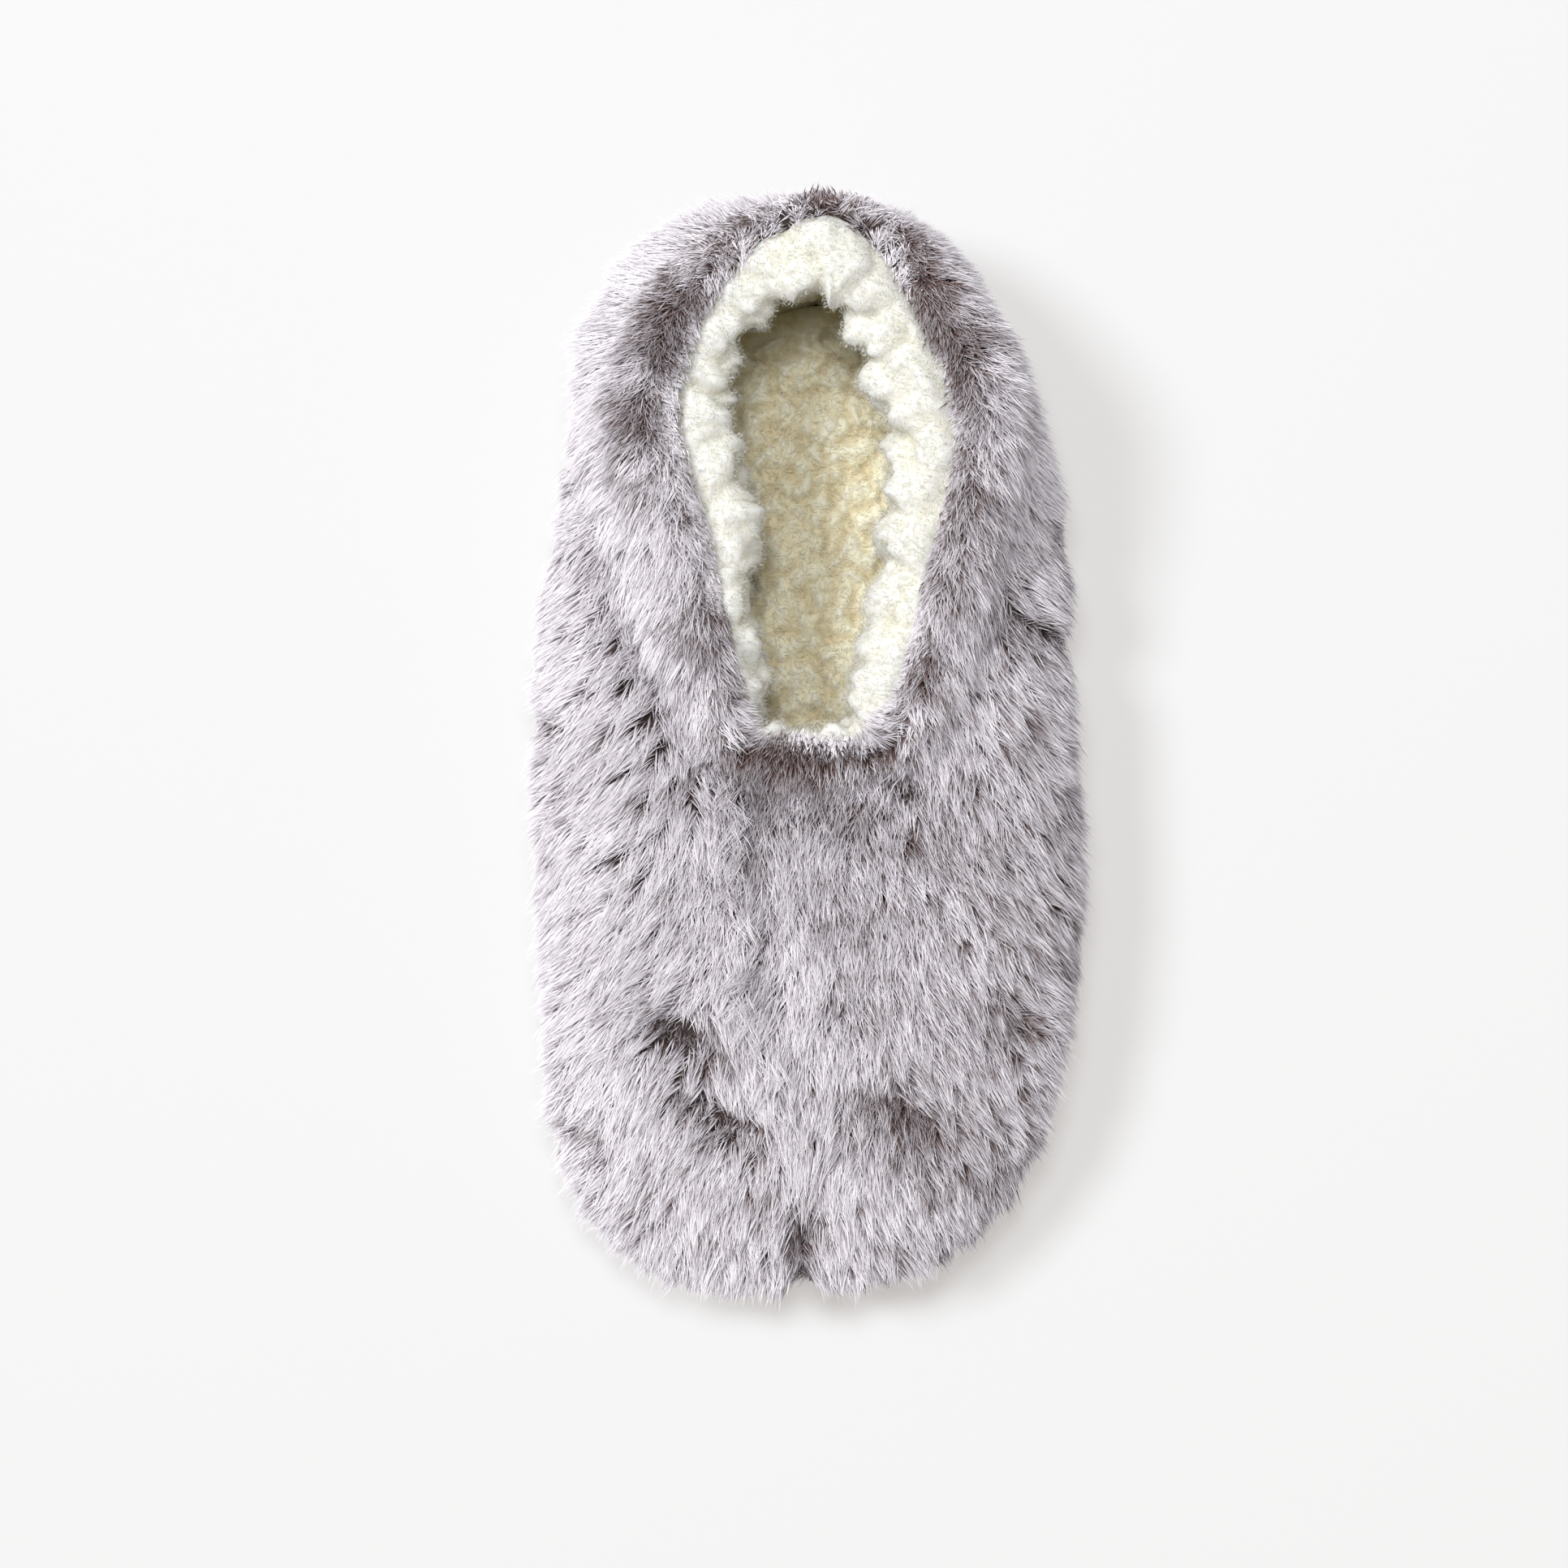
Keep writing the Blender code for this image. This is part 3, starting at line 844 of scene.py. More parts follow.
def fibre_group() -> bpy.types.NodeTree:
    """Fine fibres in a cloth's face: a value that mottles its colour and a height for its bump.

    Returns:
        The group, with the input Scale and the outputs Mottle and Height.
    """
    tree = bpy.data.node_groups.new("fibres", "ShaderNodeTree")
    for name, way in (("Scale", "INPUT"), ("Mottle", "OUTPUT"), ("Height", "OUTPUT")):
        tree.interface.new_socket(name, in_out=way, socket_type="NodeSocketFloat")
    nodes = Nodes(tree)
    entry = tree.nodes.new("NodeGroupInput")
    leave = tree.nodes.new("NodeGroupOutput")
    place = nodes.add("TexCoord").outputs["Object"]
    broad = nodes.add("TexNoise", Vector=place, Scale=260.0, Detail=3.0)
    fine = nodes.add("TexNoise", Vector=place, Scale=entry.outputs["Scale"], Detail=4.0, Roughness=0.65)
    tree.links.new(broad.outputs["Fac"], leave.inputs["Mottle"])
    tree.links.new(fine.outputs["Fac"], leave.inputs["Height"])
    return tree


@dataclass(frozen=True)
class FurFinish:
    """Frosted fur: dark brown-grey roots, grey middles and pale lilac tips.

    The bake map's v runs from root to tip, and its u is the strand's shade, from dark to pale.
    """

    root: Colour = (0.104, 0.064, 0.058)
    lower: Colour = (0.226, 0.170, 0.166)
    middle: Colour = (0.50, 0.465, 0.50)
    upper: Colour = (0.83, 0.79, 0.84)
    tip: Colour = (0.95, 0.915, 0.955)
    stops: tuple[float, ...] = (0.10, 0.28, 0.48, 0.68, 0.88)
    shade_shift: float = 0.80
    roughness: float = 0.62
    specular: float = 0.25

    def material(self) -> bpy.types.Material:
        """The fur's material.

        Its colour follows v, moved along by u.

        Returns:
            The material.
        """
        material, nodes, shader = new_material("frosted_fur")
        place = nodes.add("SeparateXYZ", Vector=nodes.add("UVMap", {"uv_map": BAKE_MAP}).outputs["UV"])
        shade = nodes.math("MULTIPLY", nodes.math("SUBTRACT", place.outputs["X"], 0.5), self.shade_shift)
        along = nodes.math("ADD", place.outputs["Y"], shade)
        colours = (self.root, self.lower, self.middle, self.upper, self.tip)
        colour = nodes.ramp(along, tuple(zip(self.stops, colours)))
        nodes.set(shader, Base_Color=colour, Roughness=self.roughness, Specular_IOR_Level=self.specular)
        return material


@dataclass(frozen=True)
class FleeceFinish:
    """Curly fleece: pale on its curls, with painted shade, a deeper and warmer colour, in the hollows between
    them.
    """

    name: str
    painted_hollow_shade: Colour
    middle: Colour
    crown: Colour
    stops: tuple[float, float, float]
    scatter: float
    scatter_share: float = 0.5
    scatter_colour: Colour = (1.0, 0.88, 0.6)
    fibre_scale: float = 1900.0
    mottle: float = 0.12
    bump: float = 0.5
    bump_depth: float = 0.0008
    roughness: float = 0.95
    specular: float = 0.1

    def material(self, fibres: bpy.types.NodeTree) -> bpy.types.Material:
        """The fleece's material.

        Args:
            fibres: The shared group of fine fibres.

        Returns:
            The material.
        """
        material, nodes, shader = new_material(self.name)
        curl = nodes.add("Attribute", {"attribute_name": "curl"}).outputs["Fac"]
        group = nodes.add("Group", {"node_tree": fibres}, Scale=self.fibre_scale)
        spread = nodes.math("MULTIPLY", nodes.math("SUBTRACT", group.outputs["Mottle"], 0.5), self.mottle)
        # The curl value picks the colour. Low values, in the hollows, take the painted hollow shade.
        stops = tuple(zip(self.stops, (self.painted_hollow_shade, self.middle, self.crown)))
        height = group.outputs["Height"]
        bump = nodes.add("Bump", Height=height, Strength=self.bump, Distance=self.bump_depth)
        nodes.set(
            shader,
            Base_Color=nodes.ramp(nodes.math("ADD", curl, spread), stops),
            Normal=bump.outputs["Normal"],
            Roughness=self.roughness,
            Specular_IOR_Level=self.specular,
            Subsurface_Weight=self.scatter_share,
            Subsurface_Radius=self.scatter_colour,
            Subsurface_Scale=self.scatter,
        )
        return material


@dataclass(frozen=True)
class ClothFinish:
    """A matt woven cloth, its threads crossing at a given size."""

    name: str
    dark: Colour
    pale: Colour
    threads_per_metre: float
    stops: Span = (0.25, 0.75)
    weave_share: float = 0.22
    fibre_scale: float = 2600.0
    bump: float = 0.6
    bump_depth: float = 0.0004
    roughness: float = 0.92
    specular: float = 0.15

    def material(self, fibres: bpy.types.NodeTree) -> bpy.types.Material:
        """The cloth's material.

        Args:
            fibres: The shared group of fine fibres.

        Returns:
            The material.
        """
        material, nodes, shader = new_material(self.name)
        place = nodes.add("TexCoord").outputs["Object"]
        parts = nodes.add("SeparateXYZ", Vector=place)
        turn = 2 * math.pi * self.threads_per_metre
        warp, weft = (
            nodes.math("SINE", nodes.math("MULTIPLY", parts.outputs[axis], turn)) for axis in ("X", "Y")
        )
        weave = nodes.math("MULTIPLY", warp, weft)
        group = nodes.add("Group", {"node_tree": fibres}, Scale=self.fibre_scale)
        mottle = nodes.math("ADD", nodes.math("MULTIPLY", weave, self.weave_share), group.outputs["Mottle"])
        height = nodes.math("ADD", weave, group.outputs["Height"])
        bump = nodes.add("Bump", Height=height, Strength=self.bump, Distance=self.bump_depth)
        nodes.set(
            shader,
            Base_Color=nodes.ramp(mottle, tuple(zip(self.stops, (self.dark, self.pale)))),
            Normal=bump.outputs["Normal"],
            Roughness=self.roughness,
            Specular_IOR_Level=self.specular,
        )
        return material


class FurZone(Enum):
    """The pieces that the fur is cut into, by the names of their objects."""

    TOE = "fur_toe"
    VAMP_LEFT = "fur_vamp_left"
    VAMP_RIGHT = "fur_vamp_right"
    QUARTER_LEFT = "fur_quarter_left"
    QUARTER_RIGHT = "fur_quarter_right"
    HEEL = "fur_heel"
    COLLAR = "fur_collar"


@dataclass
class Roots:
    """Places on the skin where locks grow: where, which way out and in, and how far round and up."""

    point: Array
    normal: Array
    outward: Array
    inward: Array
    place: Array
    row: Array

    @property
    def on_hem(self) -> Array:
        """How far a root is round the hem's bead: below 0 on the wall, then from 0 to 1."""
        return self.row - 1.0

    @property
    def steep(self) -> Array:
        """How steep the skin is at a root: 0 where it faces up, 1 where it faces sideways or down."""
        return 1.0 - np.clip(self.normal[:, 2], 0.0, 1.0)


@dataclass
class Skin:
    """The upper's outer face: the wall's rows, then the hem's rows, with its creases worked in.

    A row's number is its height on the wall from 0 to 1, and on the hem 1 plus its share of the
    way round the bead.
    """

    last: Last
    wall_rows: int = 110
    hem_rows: int = 40
    hem_end: float = 205.0
    crease_slope: Span = (-0.2, 0.4)
    even_steps: tuple[float, float] = (0.7548776662, 0.5698402910)

    def __post_init__(self) -> None:
        """Works out the grid of points, normals and row numbers."""
        heights = np.linspace(0.0, 1.0, self.wall_rows)
        share = np.linspace(0.0, 1.0, self.hem_rows + 1)[1:]
        turns = self.last.hem_start + share * (self.hem_end - self.last.hem_start)
        grid = np.concatenate([self.last.wall(heights), self.last.hem(turns)])
        self.rows = np.concatenate([heights, 1.0 + share])
        smooth = self.last.placed(grid)
        normals = grid_normals(smooth)
        self.points = smooth - normals * self.relief(smooth, normals)[..., None]
        self.normals = grid_normals(self.points)

    def relief(self, points: Array, normals: Array) -> Array:
        """The creases' depth: each is a bell across its line, where the skin faces up or out."""
        facing = smooth_step(*self.crease_slope, normals[..., 2])
        return sum(crease.depth * MM * crease.near(points) * facing for crease in CREASES)

    def scatter(self, count: int, density: Array, seed: int) -> Roots:
        """Roots spread over the skin in proportion to area and density.

        An even sequence in two numbers picks first the row and then the place in the row, each
        through the running total of the cells' weights.

        Args:
            count: How many roots.
            density: A weight for each point of the grid.
            seed: Seed of the sequence's start.

        Returns:
            The roots.
        """
        chance = np.random.default_rng(seed)
        side = np.roll(self.points, -1, 1) - self.points
        rise = np.diff(self.points, axis=0)
        weight = np.linalg.norm(np.cross(rise, side[:-1]), axis=-1) * density[:-1]
        columns = weight.shape[1]
        row_weight = weight.sum(1)
        row_end, cell_end = np.cumsum(row_weight), np.cumsum(weight)
        steps = np.arange(count) + chance.uniform()
        row_step, column_step = self.even_steps
        target = (steps * row_step % 1.0) * row_end[-1]
        row = np.minimum(np.searchsorted(row_end, target), len(row_end) - 1)
        row_part = 1.0 - (row_end[row] - target) / row_weight[row]
        within = row_end[row] - row_weight[row] * (steps * column_step % 1.0)
        cell = np.clip(np.searchsorted(cell_end, within), row * columns, row * columns + columns - 1)
        column_part = np.clip(1.0 - (cell_end[cell] - within) / weight.ravel()[cell], 0.0, 1.0)
        column = cell - row * columns
        return self.sample(row + np.clip(row_part, 0, 1), column + column_part)

    def sample(self, row: Array, column: Array) -> Roots:
        """Roots at fractional rows and columns of the grid, between its four nearest points.

        Args:
            row: Rows, with their fractions.
            column: Columns, with their fractions.

        Returns:
            The roots.
        """
        low = np.clip(row.astype(int), 0, len(self.rows) - 2)
        first = column.astype(int) % self.last.count
        second = (first + 1) % self.last.count
        up = (row - low)[:, None]
        along = (column - np.floor(column))[:, None]

        def between(grid: Array) -> Array:
            """A grid's values between the four nearest points."""
            near = grid[low, first] * (1 - along) + grid[low, second] * along
            far = grid[low + 1, first] * (1 - along) + grid[low + 1, second] * along
            return near * (1 - up) + far * up

        return Roots(
            between(self.points),
            unit(between(self.normals)),
            self.last.outward[first],
            self.last.inward[first],
            column / self.last.per_section,
            np.interp(row, np.arange(len(self.rows)), self.rows),
        )


@dataclass(frozen=True)
class NapStyle:
    """Which way the nap runs, as pulls along the shoe's directions that are added up.

    Outer and inner are the hem's two sides, apart at its crest. A loss is the share of a pull that
    goes at the heel or beside the foot. A span is where a change starts and ends: in metres along
    the shoe, or as a share of the hem's bead.
    """

    heel_span: Span = (0.045, 0.105)
    fan_left: float = 0.55
    fan_right: float = 0.38
    fan_width: float = 0.055
    fan_limit: float = 1.2
    wall_heel_loss: float = 0.75
    wall_down: float = 0.75
    wall_heel_down: float = 0.5
    wall_out: float = 0.15
    wall_round: float = 0.4
    parting_place: float = 0.002
    parting_width: float = 0.010
    outer_heel_loss: float = 0.85
    outer_down: float = 0.2
    outer_heel_down: float = 1.1
    outer_out: float = 0.75
    outer_beside_loss: float = 0.62
    outer_out_heel_loss: float = 0.6
    inner_forward: float = 0.8
    inner_forward_span: Span = (0.004, 0.030)
    inner_beside_loss: float = 0.4
    inner_down: float = 0.35
    inner_round: float = 0.5
    crest_span: Span = (-0.12, 0.12)
    hem_span: Span = (-0.30, 0.10)
    lean_reach: float = 1.6e-3
    least_way: float = 1e-5


@dataclass(frozen=True)
class PileStyle:
    """How thick and long the pile is. Lengths are in metres, and a loss is a share of the length."""

    length: float = 0.0106
    hem_length: float = 0.0104
    spread: float = 0.0019
    hem_spread: float = 0.0018
    hem_density: float = 2.4
    steep_density: float = 0.25
    hem_span: Span = (-0.05, 0.10)
    fringe_span: Span = (-0.04, 0.10)
    heel_span: Span = (0.09, 0.12)
    heel_loss: float = 0.52
    opening_loss: float = 0.25
    steep_loss: float = 0.20
    bare_limits: Span = (-0.3, 0.85)


@dataclass(frozen=True)
class StrandStyle:
    """How a strand stands and how much strands differ.

    Angles are in degrees from the skin, at the root and at the tip. A rise is added where the fur
    is open, and a lean is taken off where the skin is steep.
    """

    width: float = 0.00032
    widths: Span = (0.75, 1.25)
    lock_lengths: Span = (0.85, 1.12)
    lengths: Span = (0.62, 1.08)
    stray: float = 1.9
    root_angle: float = 66.0
    root_rise: float = 14.0
    root_lean: float = 18.0
    tip_angle: float = 13.0
    tip_rise: float = 22.0
    tip_lean: float = 8.0
    angle_spread: float = 9.0
    heel_flatness: float = 0.8
    gather: float = 0.72
    gather_power: float = 1.4
    gather_steep_loss: float = 0.6
    gather_open_loss: float = 0.5
    gather_along: float = 0.5
    lock_swing: float = 0.08
    swing: float = 0.06
    open_swing: float = 4.0
    roll: float = 0.6
    stations: tuple[float, float, float] = (0.0, 0.48, 1.0)


@dataclass(frozen=True)
class ShadeStyle:
    """The strands' shades, from 0 for dark to 1 for pale: what is added to or taken from the middle.

    A span is where a change starts and ends: in metres, or as a share of the hem's bead.
    """

    middle: float = 0.53
    limits: Span = (0.03, 0.97)
    lock_spread: float = 0.11
    hem_spread: float = 1.5
    spread: float = 0.08
    dark_share: float = 0.13
    dark_loss: float = 0.34
    # Painted light and shade: strands paler on the left of the shoe and darker on its right, as if lit from
    # the left.
    painted_light_fall: float = 0.17
    painted_light_width: float = 0.045
    painted_light_limits: Span = (-0.8, 0.75)
    steep_gain: float = 0.16
    patch_middle: float = 0.85
    patch_limits: Span = (0.25, 1.4)
    opening_loss: float = 0.62
    # The creases' share darkens strands: real at a parting, where dark roots show, and painted shade in a
    # fold. Where negative, on a ridge, it is partly a painted highlight.
    bare_and_painted_fold_shade: float = 0.75
    fringe_gain: float = 0.26
    fringe_span: Span = (0.08, 0.24)
    roll_start: Span = (-0.06, 0.14)
    roll_end: Span = (0.04, 0.16)
    roll_loss: float = 0.04
    left_roll_loss: float = 0.18
    left_span: Span = (-0.010, 0.010)
    rear_span: Span = (0.0, 0.04)
    quarter_gain: float = 0.06
    rear_right_gain: float = 0.10
    rear_right_span: Span = (0.0, 0.03)
    vamp_gain: float = 0.07
    vamp_width: float = 0.028
    vamp_span: Span = (-0.085, -0.060)
    side_step: float = 0.012


@dataclass
class Fur:
    """The fur: locks of tapered strands that lie along the nap, with their tips drawn together.

    A strand leaves the skin steeply and bends over along the nap. Its angle falls evenly from root
    to tip, so its way along the skin is a difference of the angle's sines, and its way off the skin
    one of its cosines.
    """

    skin: Skin
    finish: FurFinish = FurFinish()
    nap_style: NapStyle = NapStyle()
    pile_style: PileStyle = PileStyle()
    strand_style: StrandStyle = StrandStyle()
    shade_style: ShadeStyle = ShadeStyle()
    locks: int = 5600
    strands: int = 46
    seed: int = 11
    floor: float = 0.0006
    toe_line: float = -0.080
    vamp_line: float = 0.0
    heel_line: float = 0.075

    crest_waves = Waves(4, 0.020, 0.05)
    broad_waves = Waves(5, 0.024, 0.11)
    fine_waves = Waves(6, 0.009, 0.06)
    shade_waves = Waves(8, 0.030, 0.07)
    patch_waves = Waves(12, 0.020, 0.5)

    def build(self) -> None:
        """Builds every zone of the fur: two triangles for each strand."""
        material = self.finish.material()
        roots = self.skin.scatter(self.locks, self.density(), self.seed)
        chance = np.random.default_rng(self.seed + 1)
        points = self.strand_points(roots, chance)
        uv = self.bake_places(roots, chance)
        zones = self.zones(roots)
        for number, zone in enumerate(FurZone):
            chosen = zones == number
            faces = strand_faces(chosen.sum() * self.strands)
            body = points[chosen].reshape(-1, 3)
            add_piece(zone.value, body, (faces,), material, uv[chosen].reshape(-1, 2))

    def density(self) -> Array:
        """How thickly locks grow: thicker where the wall is steep and on the hem, none past its edge.

        Returns:
            A weight for each point of the skin.
        """
        style = self.pile_style
        on_hem = self.skin.rows[:, None] - 1.0
        hem = style.hem_density * (on_hem < self.collar_column("edge")[None])
        wall = 1.0 + style.steep_density * (1.0 - np.clip(self.skin.normals[..., 2], 0.0, 1.0))
        return np.where(on_hem > 0, hem, wall)

    def collar_column(self, name: str) -> Array:
        """One column of the collar's table, smooth round the shoe."""
        return np.clip(self.skin.last.column(name, COLLAR_TRIM), 0.0, None)

    def collar_at(self, name: str, roots: Roots) -> Array:
        """One column of the collar's table at the roots.

        Args:
            name: The column's name.
            roots: The locks' roots.

        Returns:
            A value for each root.
        """
        last = self.skin.last
        values = self.collar_column(name)
        return values[(roots.place * last.per_section).astype(int) % last.count]

    def past_crest(self, roots: Roots) -> Array:
        """How far each root is past the line where the hem's fur parts, which wanders a little."""
        return roots.on_hem - self.collar_at("crest", roots) - self.crest_waves(roots.point)

    def opening(self, roots: Roots) -> Array:
        """How open the fur is at each root: a bell across the hem's crest, half as wide inside it.

        Args:
            roots: The locks' roots.

        Returns:
            A share for each root, 0 where the fur is closed.
        """
        past = self.past_crest(roots)
        across = past / self.collar_at("breadth", roots) * np.where(past > 0, 2.0, 1.0)
        return bell(across, 1.0) * self.collar_at("parting", roots)

    def bared(self, roots: Roots) -> Array:
        """The share of the pile that the creases take from each lock, or add to it where negative.

        Args:
            roots: The locks' roots.

        Returns:
            A share for each root.
        """
        facing = roots.normal[:, 2] > 0
        bare = sum(crease.bare * (crease.near(roots.point) * facing) for crease in CREASES)
        return np.clip(bare, *self.pile_style.bare_limits)

    def nap(self, roots: Roots) -> Array:
        """The direction along the skin in which each lock lies.

        The pulls on the wall and on the hem are blended, the creases' leans are added, and the sum is
        laid along the skin and turned by an angle that wanders.

        Args:
            roots: The locks' roots.

        Returns:
            A unit vector for each root.
        """
        style = self.nap_style
        heel = smooth_step(*style.heel_span, roots.point[:, 1:2])
        side = np.tanh((roots.point[:, :1] - style.parting_place) / style.parting_width)
        round_heel = np.cross(roots.outward, UP) * side * heel
        wall = unit(self.wall_nap(roots, heel) + style.wall_round * round_heel)
        hem = unit(self.hem_nap(roots, heel, round_heel))
        turn_to_hem = smooth_step(*style.hem_span, roots.on_hem)[:, None]
        nap = wall * (1 - turn_to_hem) + hem * turn_to_hem
        for crease in CREASES:
            away = crease.away(roots.point)
            far = np.linalg.norm(away, axis=-1, keepdims=True)
            pull = crease.lean * bell(far, crease.width * style.lean_reach)
            nap[:, :2] += away / np.maximum(far, style.least_way) * pull * (roots.normal[:, 2:] > 0)
        wander = (self.broad_waves(roots.point) + self.fine_waves(roots.point))[:, None]
        nap = unit(nap - roots.normal * (nap * roots.normal).sum(-1, keepdims=True))
        return unit(nap * np.cos(wander) + np.cross(roots.normal, nap) * np.sin(wander))

    def wall_nap(self, roots: Roots, heel: Array) -> Array:
        """The pulls on the wall: towards the toe and down, fanned out over the vamp, down at the heel.

        Args:
            roots: The locks' roots.
            heel: How far into the heel each root is, from 0 to 1.

        Returns:
            The pulls' sum at each root.
        """
        style = self.nap_style
        x = roots.point[:, :1]
        fan = np.where(x < 0, style.fan_left, style.fan_right)
        fan = fan * np.clip(x / style.fan_width, -style.fan_limit, style.fan_limit)
        wall = TOEWARD * (1.0 - style.wall_heel_loss * heel)
        wall = wall - UP * (style.wall_down + style.wall_heel_down * heel) + roots.outward * style.wall_out
        return wall + RIGHTWARD * fan * (1 - heel)

    def hem_nap(self, roots: Roots, heel: Array, round_heel: Array) -> Array:
        """The pulls on the hem: down its outer side, and into the opening past its crest.

        Args:
            roots: The locks' roots.
            heel: How far into the heel each root is, from 0 to 1.
            round_heel: The pull away from the heel's middle, to both sides.

        Returns:
            The pulls' sum at each root.
        """
        style = self.nap_style
        beside = np.abs(roots.outward[:, :1]) * (1 - heel)
        outer = TOEWARD * (1.0 - style.outer_heel_loss * heel)
        outer = outer - UP * (style.outer_down + style.outer_heel_down * heel)
        out = roots.outward * (style.outer_out - style.outer_beside_loss * beside)
        outer = outer + out * (1 - style.outer_out_heel_loss * heel) + round_heel
        forward = smooth_step(*style.inner_forward_span, roots.point[:, 1:2])
        inner = roots.inward * (1.0 - style.inner_beside_loss * beside) - UP * style.inner_down
        inner = inner + TOEWARD * style.inner_forward * beside * forward + style.inner_round * round_heel
        over = smooth_step(*style.crest_span, self.past_crest(roots))[:, None]
        return outer * (1 - over) + inner * over

    def pile(self, roots: Roots) -> tuple[Array, Array]:
        """Each lock's length and how far its roots spread.

        The length is the wall's, the hem's or the fringe's, less where the fur opens, is bare or is steep.

        Args:
            roots: The locks' roots.

        Returns:
            Lengths and spreads in metres.
        """
        style = self.pile_style
        on_hem = smooth_step(*style.hem_span, roots.on_hem)
        inside = smooth_step(*style.fringe_span, self.past_crest(roots))
        fringe = self.collar_at("fringe", roots) * MM
        at_heel = smooth_step(*style.heel_span, roots.point[:, 1])
        outside = style.hem_length * (1.0 - style.heel_loss * at_heel)
        hem_length = outside + (fringe - outside) * inside
        length = style.length + (hem_length - style.length) * on_hem
        length = length * (1.0 - style.opening_loss * self.opening(roots)) * (1.0 - self.bared(roots))
        length = length * (1.0 - style.steep_loss * roots.steep * (1.0 - on_hem))
        return length, style.spread + (style.hem_spread - style.spread) * on_hem

    def strand_points(self, roots: Roots, chance: np.random.Generator) -> Array:
        """The strands' points: a root, two at the middle and a tip for each.

        Args:
            roots: The locks' roots.
            chance: The random numbers.

        Returns:
            Points of shape (locks, strands, 4, 3).
        """
        style = self.strand_style
        nap = self.nap(roots)
        shape = (len(nap), self.strands)
        lock_length, spread = self.pile(roots)
        lock_length = lock_length * chance.uniform(*style.lock_lengths, len(nap))
        length = (lock_length[:, None] * chance.uniform(*style.lengths, shape))[..., None]
        offset = np.clip(chance.normal(size=(*shape, 2)), -style.stray, style.stray) * spread[:, None, None]
        t = np.asarray(style.stations)
        at_heel = smooth_step(*self.pile_style.heel_span, roots.point[:, 1:2])
        upright = self.opening(roots)[:, None] * (1.0 - style.heel_flatness * at_heel)
        steep = roots.steep[:, None]
        root_angle = style.root_angle + style.root_rise * upright - style.root_lean * steep * (1.0 - upright)
        tip_angle = style.tip_angle + style.tip_rise * upright - style.tip_lean * np.maximum(steep, at_heel)
        start = np.radians(root_angle + chance.normal(0, style.angle_spread, shape))[..., None]
        fall = start - np.radians(tip_angle + chance.normal(0, style.angle_spread, shape))[..., None]
        angle = start - fall * t
        along = length * (np.sin(start) - np.sin(angle)) / fall
        height = length * (np.cos(angle) - np.cos(start)) / fall
        gather = style.gather * (1.0 - style.gather_steep_loss * steep)
        gather = (gather * (1.0 - style.gather_open_loss * upright))[..., None] * t**style.gather_power
        swing = chance.normal(0, style.lock_swing, len(nap))[:, None, None]
        swing = swing + (chance.normal(0, style.swing, shape) * (1.0 + style.open_swing * upright))[..., None]
        across = offset[..., 1:] * (1 - gather) + swing * along * t
        along = along + offset[..., :1] * (1 - style.gather_along * gather)
        off, ahead, aside = (v[:, None, None] for v in (roots.normal, nap, np.cross(roots.normal, nap)))
        path = roots.point[:, None, None] + ahead * along[..., None] + aside * across[..., None]
        path = path + off * height[..., None]
        roll = chance.uniform(-style.roll, style.roll, shape)[..., None, None]
        face = aside * np.cos(roll) + off * np.sin(roll)
        half = 0.5 * style.width * chance.uniform(*style.widths, shape)[..., None, None] * face
        root, middle, tip = (path[..., k : k + 1, :] for k in range(3))
        points = np.concatenate([root, middle - half, middle + half, tip], -2)
        points[..., 2] = np.maximum(points[..., 2], self.floor)
        return points

    def bake_places(self, roots: Roots, chance: np.random.Generator) -> Array:
        """The strands' places on the bake map: u from their shades and v from root to tip.

        Args:
            roots: The locks' roots.
            chance: The random numbers, as the strands' points leave them.

        Returns:
            Places of shape (locks, strands, 4, 2).
        """
        style = self.shade_style
        x, y = roots.point[:, 0], roots.point[:, 1]
        shape = (len(x), self.strands)
        past, opening = self.past_crest(roots), self.opening(roots)
        shade = self.shade_waves(roots.point)
        locks = chance.normal(0, style.lock_spread, len(x))
        shade = shade + locks * np.where(roots.on_hem > 0, style.hem_spread, 1.0)
        # Painted light and shade: paler on the left and darker on the right, across the shoe.
        shade = shade - style.painted_light_fall * np.clip(x / style.painted_light_width, *style.painted_light_limits)
        shade = shade + style.steep_gain * roots.steep**2
        patches = np.clip(style.patch_middle + self.patch_waves(roots.point), *style.patch_limits)
        # Darker where the fur opens and its dark roots show. The creases' share is the same at a parting,
        # painted shade in a fold and, where negative, partly a painted highlight on a ridge.
        shade = shade - style.opening_loss * opening * patches - style.bare_and_painted_fold_shade * self.bared(roots)
        shade = shade + style.fringe_gain * smooth_step(*style.fringe_span, past)
        on_roll = smooth_step(*style.roll_start, roots.on_hem) * (1.0 - smooth_step(*style.roll_end, past))
        on_left = 1.0 - smooth_step(*style.left_span, x)
        shade = shade - (style.roll_loss + style.left_roll_loss * on_left) * on_roll * (1.0 - opening)
        rear = style.quarter_gain * (roots.on_hem < 0)
        rear = rear + style.rear_right_gain * smooth_step(*style.rear_right_span, x)
        shade = shade + smooth_step(*style.rear_span, y) * rear
        shade = shade + style.vamp_gain * bell(x, style.vamp_width) * smooth_step(*style.vamp_span, y)
        shade = shade[:, None] + chance.normal(0, style.spread, shape)
        shade = shade - style.dark_loss * (chance.uniform(size=shape) < style.dark_share)
        shade = np.clip(style.middle + shade, *style.limits)
        uv = np.empty((*shape, 4, 2))
        uv[..., 0] = shade[..., None] + np.array([0.0, -style.side_step, style.side_step, 0.0])
        uv[..., 1] = np.array(self.strand_style.stations)[[0, 1, 1, 2]]
        return uv

